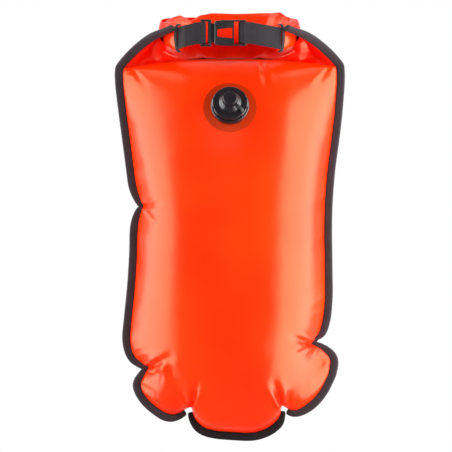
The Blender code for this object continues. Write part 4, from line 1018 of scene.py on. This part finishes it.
# The edge's angles round the roll in degrees and how far it is inset there, then its section across the band
EDGE_ANGLES = [-105, 0, 35, 60, 118]
EDGE_INSETS = [0.0019, 0.0026, 0.0016, 0.0002, 0.0006]
EDGE_SECTION = [(0.0004, -0.0012), (0.0004, 0.0008), (-0.0006, 0.0013), (-0.0034, 0.0013), (-0.0044, 0.0006),
                (-0.0044, -0.0012)]


def roll_edge(name, side):
    """The binding of the mouth's end, seen where it was rolled up with the mouth."""
    rings = []
    place, out, along = loop_at(side)
    for turn in np.linspace(EDGE_ANGLES[0], EDGE_ANGLES[-1], EDGE_STEPS):
        angle = math.radians(turn)
        inset = np.interp(turn, EDGE_ANGLES, EDGE_INSETS)
        ring = []
        for step, proud in EDGE_SECTION:
            rise = (roll_half(1) + proud - inset) * math.sin(angle)
            point = place + along * side * step + out * (ROLL_T + proud - inset) * math.cos(angle)
            ring.append(point + np.array([0, 0, roll_mid(1) + rise]))
        rings.append(ring)
    made = loft(name, rings, TAPE)
    subdivide(made)
    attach(made, "bag")


roll_edge("left_roll_edge", -1)
roll_edge("right_roll_edge", 1)


# Webbing

FORWARD = 0.040
BAR_HALF = 0.0017
WEB = 0.0016
WEB_HALF_WIDTH = 0.0125
WRAP = BAR_HALF + CLEARANCE + WEB / 2
SELVEDGE = math.radians(60)
# Half of the webbing's section, as (share across it, share of its half thickness)
WEB_SECTION = [(-1, -0.25), (-0.965, -1), (-0.9, -0.8), (-0.3, -0.86), (0.3, -0.86), (0.9, -0.8),
               (0.965, -1), (1, -0.25)]
STRAP_STEPS = 25
STRAP_LEVELLING = 1.15
LEFT_BAR_NEAR, LEFT_BAR_FAR, LEFT_TAIL = -0.0318, -0.0289, 0.009
RIGHT_BAR_NEAR, RIGHT_BAR_FAR, RIGHT_TAIL = 0.0172, 0.0120, 0.012
MOUTH_ALONG, MOUTH_OUT = 0.0002, 0.0045
OPENING = 0.013
COME_ALONG, COME_BACK = 0.0005, 0.0030
SAG = 0.0006
CURVE_STEPS = 14
BEND_STEPS = 6
TAIL_STEPS = 6


def strap_strip(name, path, heights, body="bag"):
    """Flat webbing with a raised selvedge, along a path in plan."""
    path = np.asarray(path)
    flat = path[:, :2]
    ahead = ways_ahead(flat)
    side = np.stack([-ahead[:, 1], ahead[:, 0]], axis=1)
    rings = []
    section = WEB_SECTION + [(a, -b) for a, b in reversed(WEB_SECTION)]
    for p, s, z in zip(flat, side, heights):
        ring = []
        for a, b in section:
            ring.append([p[0] + s[0] * b * WEB / 2, p[1] + s[1] * b * WEB / 2, z + a * WEB_HALF_WIDTH])
        rings.append(ring)
    rings = np.array(rings)
    reach = reach_along(flat)
    across = (rings[:, :, 2] - np.asarray(heights)[:, None])
    uv = np.stack([np.repeat(reach[:, None], rings.shape[1], axis=1), across], axis=2).reshape(-1, 2)
    made = loft(name, rings, WEBBING, uv)
    made.data.set_sharp_from_angle(angle=SELVEDGE)
    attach(made, body)
    return made


def strap(side, bar_near, bar_far, tail, body, replaced):
    """A closure strap from the roll's end to its buckle half, and its tail turned back round the bar."""
    end, outward, along = loop_at(side)
    mouth = end + along * side * MOUTH_ALONG + outward * MOUTH_OUT
    near = np.array([bar_near, -FORWARD - WRAP, 0])
    length = abs(mouth[0] - bar_near)
    keep = (length - OPENING) / length
    come = near + np.array([side * (tail / keep + COME_ALONG), COME_BACK, 0])
    middle = (mouth + come) / 2 + np.array([0, -SAG, 0])
    run = even(catmull([mouth, middle, come, near], CURVE_STEPS), STRAP_STEPS)
    heights = roll_mid(1) * np.clip(1 - np.linspace(0, STRAP_LEVELLING, STRAP_STEPS), 0, 1)
    name = "left" if side < 0 else "right"
    first = strap_strip(name + "_strap", run, heights)
    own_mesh(first)
    turn = [near]
    reach = CLEARANCE + WEB / 2
    for corner, start in ((-BAR_HALF, 0), (BAR_HALF, 1)):
        for k in range(BEND_STEPS + 1):
            a = math.pi / 2 * (start + k / BEND_STEPS - 1)
            x = bar_far - side * reach * math.cos(a)
            turn.append(np.array([x, -FORWARD + corner + reach * math.sin(a), 0]))
    for x in np.linspace(bar_near, bar_near + side * tail, TAIL_STEPS):
        turn.append(np.array([x, -FORWARD + WRAP, 0]))
    turn = np.array(turn)
    strap_strip(name + "_strap_turn", turn, np.zeros(len(turn)), body)
    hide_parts(replaced)


strap(-1, LEFT_BAR_NEAR, LEFT_BAR_FAR, LEFT_TAIL, "buckle_tongue", "left_closure_strap")
strap(1, RIGHT_BAR_NEAR, RIGHT_BAR_FAR, RIGHT_TAIL, "buckle_housing", "right_closure_strap")


# Side handle

HANDLE_HIGH, HANDLE_LOW = -0.1824, -0.3479
HANDLE_INNER = 0.073
HANDLE_CORNER = 0.020
HANDLE_SEAM = 0.126
SEAM_INSET = 0.0005
HANDLE_POINTS = 90
HANDLE_OUTER_LIFT, HANDLE_INNER_LIFT = 0.0008 + WEB, 0.0006
HANDLE_ACROSS = 7
HANDLE_SMOOTHINGS = 4


def make_handle():
    """Webbing down the back panel, sewn into the right seam at both ends, with its corners folded."""
    grid, normal = inflated(BACK_DEPTH, LAYER)
    half = WEB_HALF_WIDTH
    edge_x, edge_z = RIGHT_RUN[::-1, 0], RIGHT_RUN[::-1, 2]

    def lie(x, z, lift):
        """A place at the given lift above the back panel, no farther right than the seam."""
        x = min(x, np.interp(z, edge_z, edge_x) - SEAM_INSET)
        i = int(np.argmin(np.abs(FLAT[:, 3 * COLS // 4, 2] - z)))
        j = int(np.argmin(np.abs(grid[i, COLS // 2:, 0] - x))) + COLS // 2
        j = min(max(j, 1), COLS - 1)
        x0, x1 = grid[i, j - 1, 0], grid[i, j + 1, 0]
        t = np.clip((x - x0) / (x1 - x0), 0, 1)
        p = grid[i, j - 1] * (1 - t) + grid[i, j + 1] * t
        n = normal[i, j - 1] * (1 - t) + normal[i, j + 1] * t
        return np.array([x, p[1], z]) + n * lift

    top, bottom = HANDLE_HIGH - half, HANDLE_LOW + half
    inner = HANDLE_INNER + half
    corner = HANDLE_CORNER
    middle = [(HANDLE_SEAM, top), (inner + corner, top), (inner, top - corner), (inner, bottom + corner),
              (inner + corner, bottom), (HANDLE_SEAM, bottom)]
    line = catmull([[x, 0, z] for x, z in middle], CURVE_STEPS, corners=(1, 2, 3, 4))
    line = even(line, HANDLE_POINTS)
    ahead = ways_ahead(line)
    side = np.stack([ahead[:, 2], np.zeros(len(line)), -ahead[:, 0]], axis=1)
    side = smooth_rows(side, HANDLE_SMOOTHINGS)
    rings = []
    for p, s in zip(line, side):
        ring = []
        for ends, lift in (((-1, 1), HANDLE_OUTER_LIFT), ((1, -1), HANDLE_INNER_LIFT)):
            for a in np.linspace(*ends, HANDLE_ACROSS):
                q = p + s * a * half
                ring.append(lie(q[0], q[2], lift))
        rings.append(ring)
    made = loft("handle", rings, WEBBING)
    subdivide(made)
    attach(made, "bag")
    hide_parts("side_handle")


make_handle()


# Cap tether

TETHER_LOW = 0.0125
TETHER_HALF_WIDTH = 0.0019
TETHER_HALF = 0.0005
TETHER_SECTION = [(-1, -0.4), (-0.8, -1), (0.8, -1), (1, -0.4), (1, 0.4), (0.8, 1), (-0.8, 1), (-1, 0.4)]
TETHER_STEPS = 6


def make_tether():
    """A flat rubber strip from the insert's cone up to the cap's rim, bent at the hinge's place."""
    away = CAP_PIVOT - VALVE_AT
    out = (away - VALVE_OUT * away.dot(VALVE_OUT)).normalized()
    side = VALVE_OUT.cross(out)
    height = away.dot(VALVE_OUT)
    radius = away.dot(out)
    low = TETHER_LOW
    # Each point's distance out from the valve's axis, and its height along it
    run = [(0.0151, low), (0.0172, low + 0.0001), (0.0187, low + 0.0022), (0.0180, low + 0.0058),
           (radius + 0.0030, height + 0.0004), (radius + 0.0008, height), (0.0084, height)]
    run = catmull([[a, 0, b] for a, b in run], TETHER_STEPS)
    rings = []
    for (r, _, h), (ax, ay) in zip(run, ways_ahead(run[:, [0, 2]])):
        ring = []
        for a, b in TETHER_SECTION:
            lift = b * TETHER_HALF
            point = VALVE_AT + out * (r - ay * lift) + VALVE_OUT * (h + ax * lift)
            ring.append(list(point + side * a * TETHER_HALF_WIDTH))
        rings.append(ring)
    made = loft("tether", rings, RUBBER)
    subdivide(made)
    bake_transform(made)
    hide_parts("cap_tether")


make_tether()


# Floor

FLOOR_RADIUS = 0.28
FLOOR_HEIGHT = -0.502
FLOOR_CORNERS = 96
FLOOR_ROUGHNESS = 0.8
FLOOR_SPOTS = (14, 3)
FLOOR_TONES = [(0.3, (0.80, 0.80, 0.80)), (0.7, (0.86, 0.86, 0.86))]


def make_floor():
    """A pale round board under the bag, which hangs above it by its roll."""
    around = np.linspace(0, 2 * math.pi, FLOOR_CORNERS + 1)[:-1]
    points = [(FLOOR_RADIUS * math.cos(a), FLOOR_RADIUS * math.sin(a), FLOOR_HEIGHT) for a in around]
    material, tree, shader = new_material("pale_board")
    _, place = coords(tree)
    tone = ramp(tree, noise(tree, place, *FLOOR_SPOTS), FLOOR_TONES)
    tree.links.new(tone, shader.inputs["Base Color"])
    shader.inputs["Roughness"].default_value = FLOOR_ROUGHNESS
    made = add_mesh("floor", points, [tuple(range(len(points)))], material)
    made.visible_glossy = False


make_floor()


# Materials of the pieces whose solids stay

STAY = {BUCKLE: ["buckle_housing", "buckle_tongue", "upper_prong", "lower_prong"],
        GLOSS: ["valve_collar", "valve_insert", "valve_cap"], RUBBER: ["insert_seal", "check_flap"],
        STIFF: ["stiffener_strip"]}
for material, names in STAY.items():
    for name in names:
        NODES[name].data.materials.clear()
        NODES[name].data.materials.append(material)
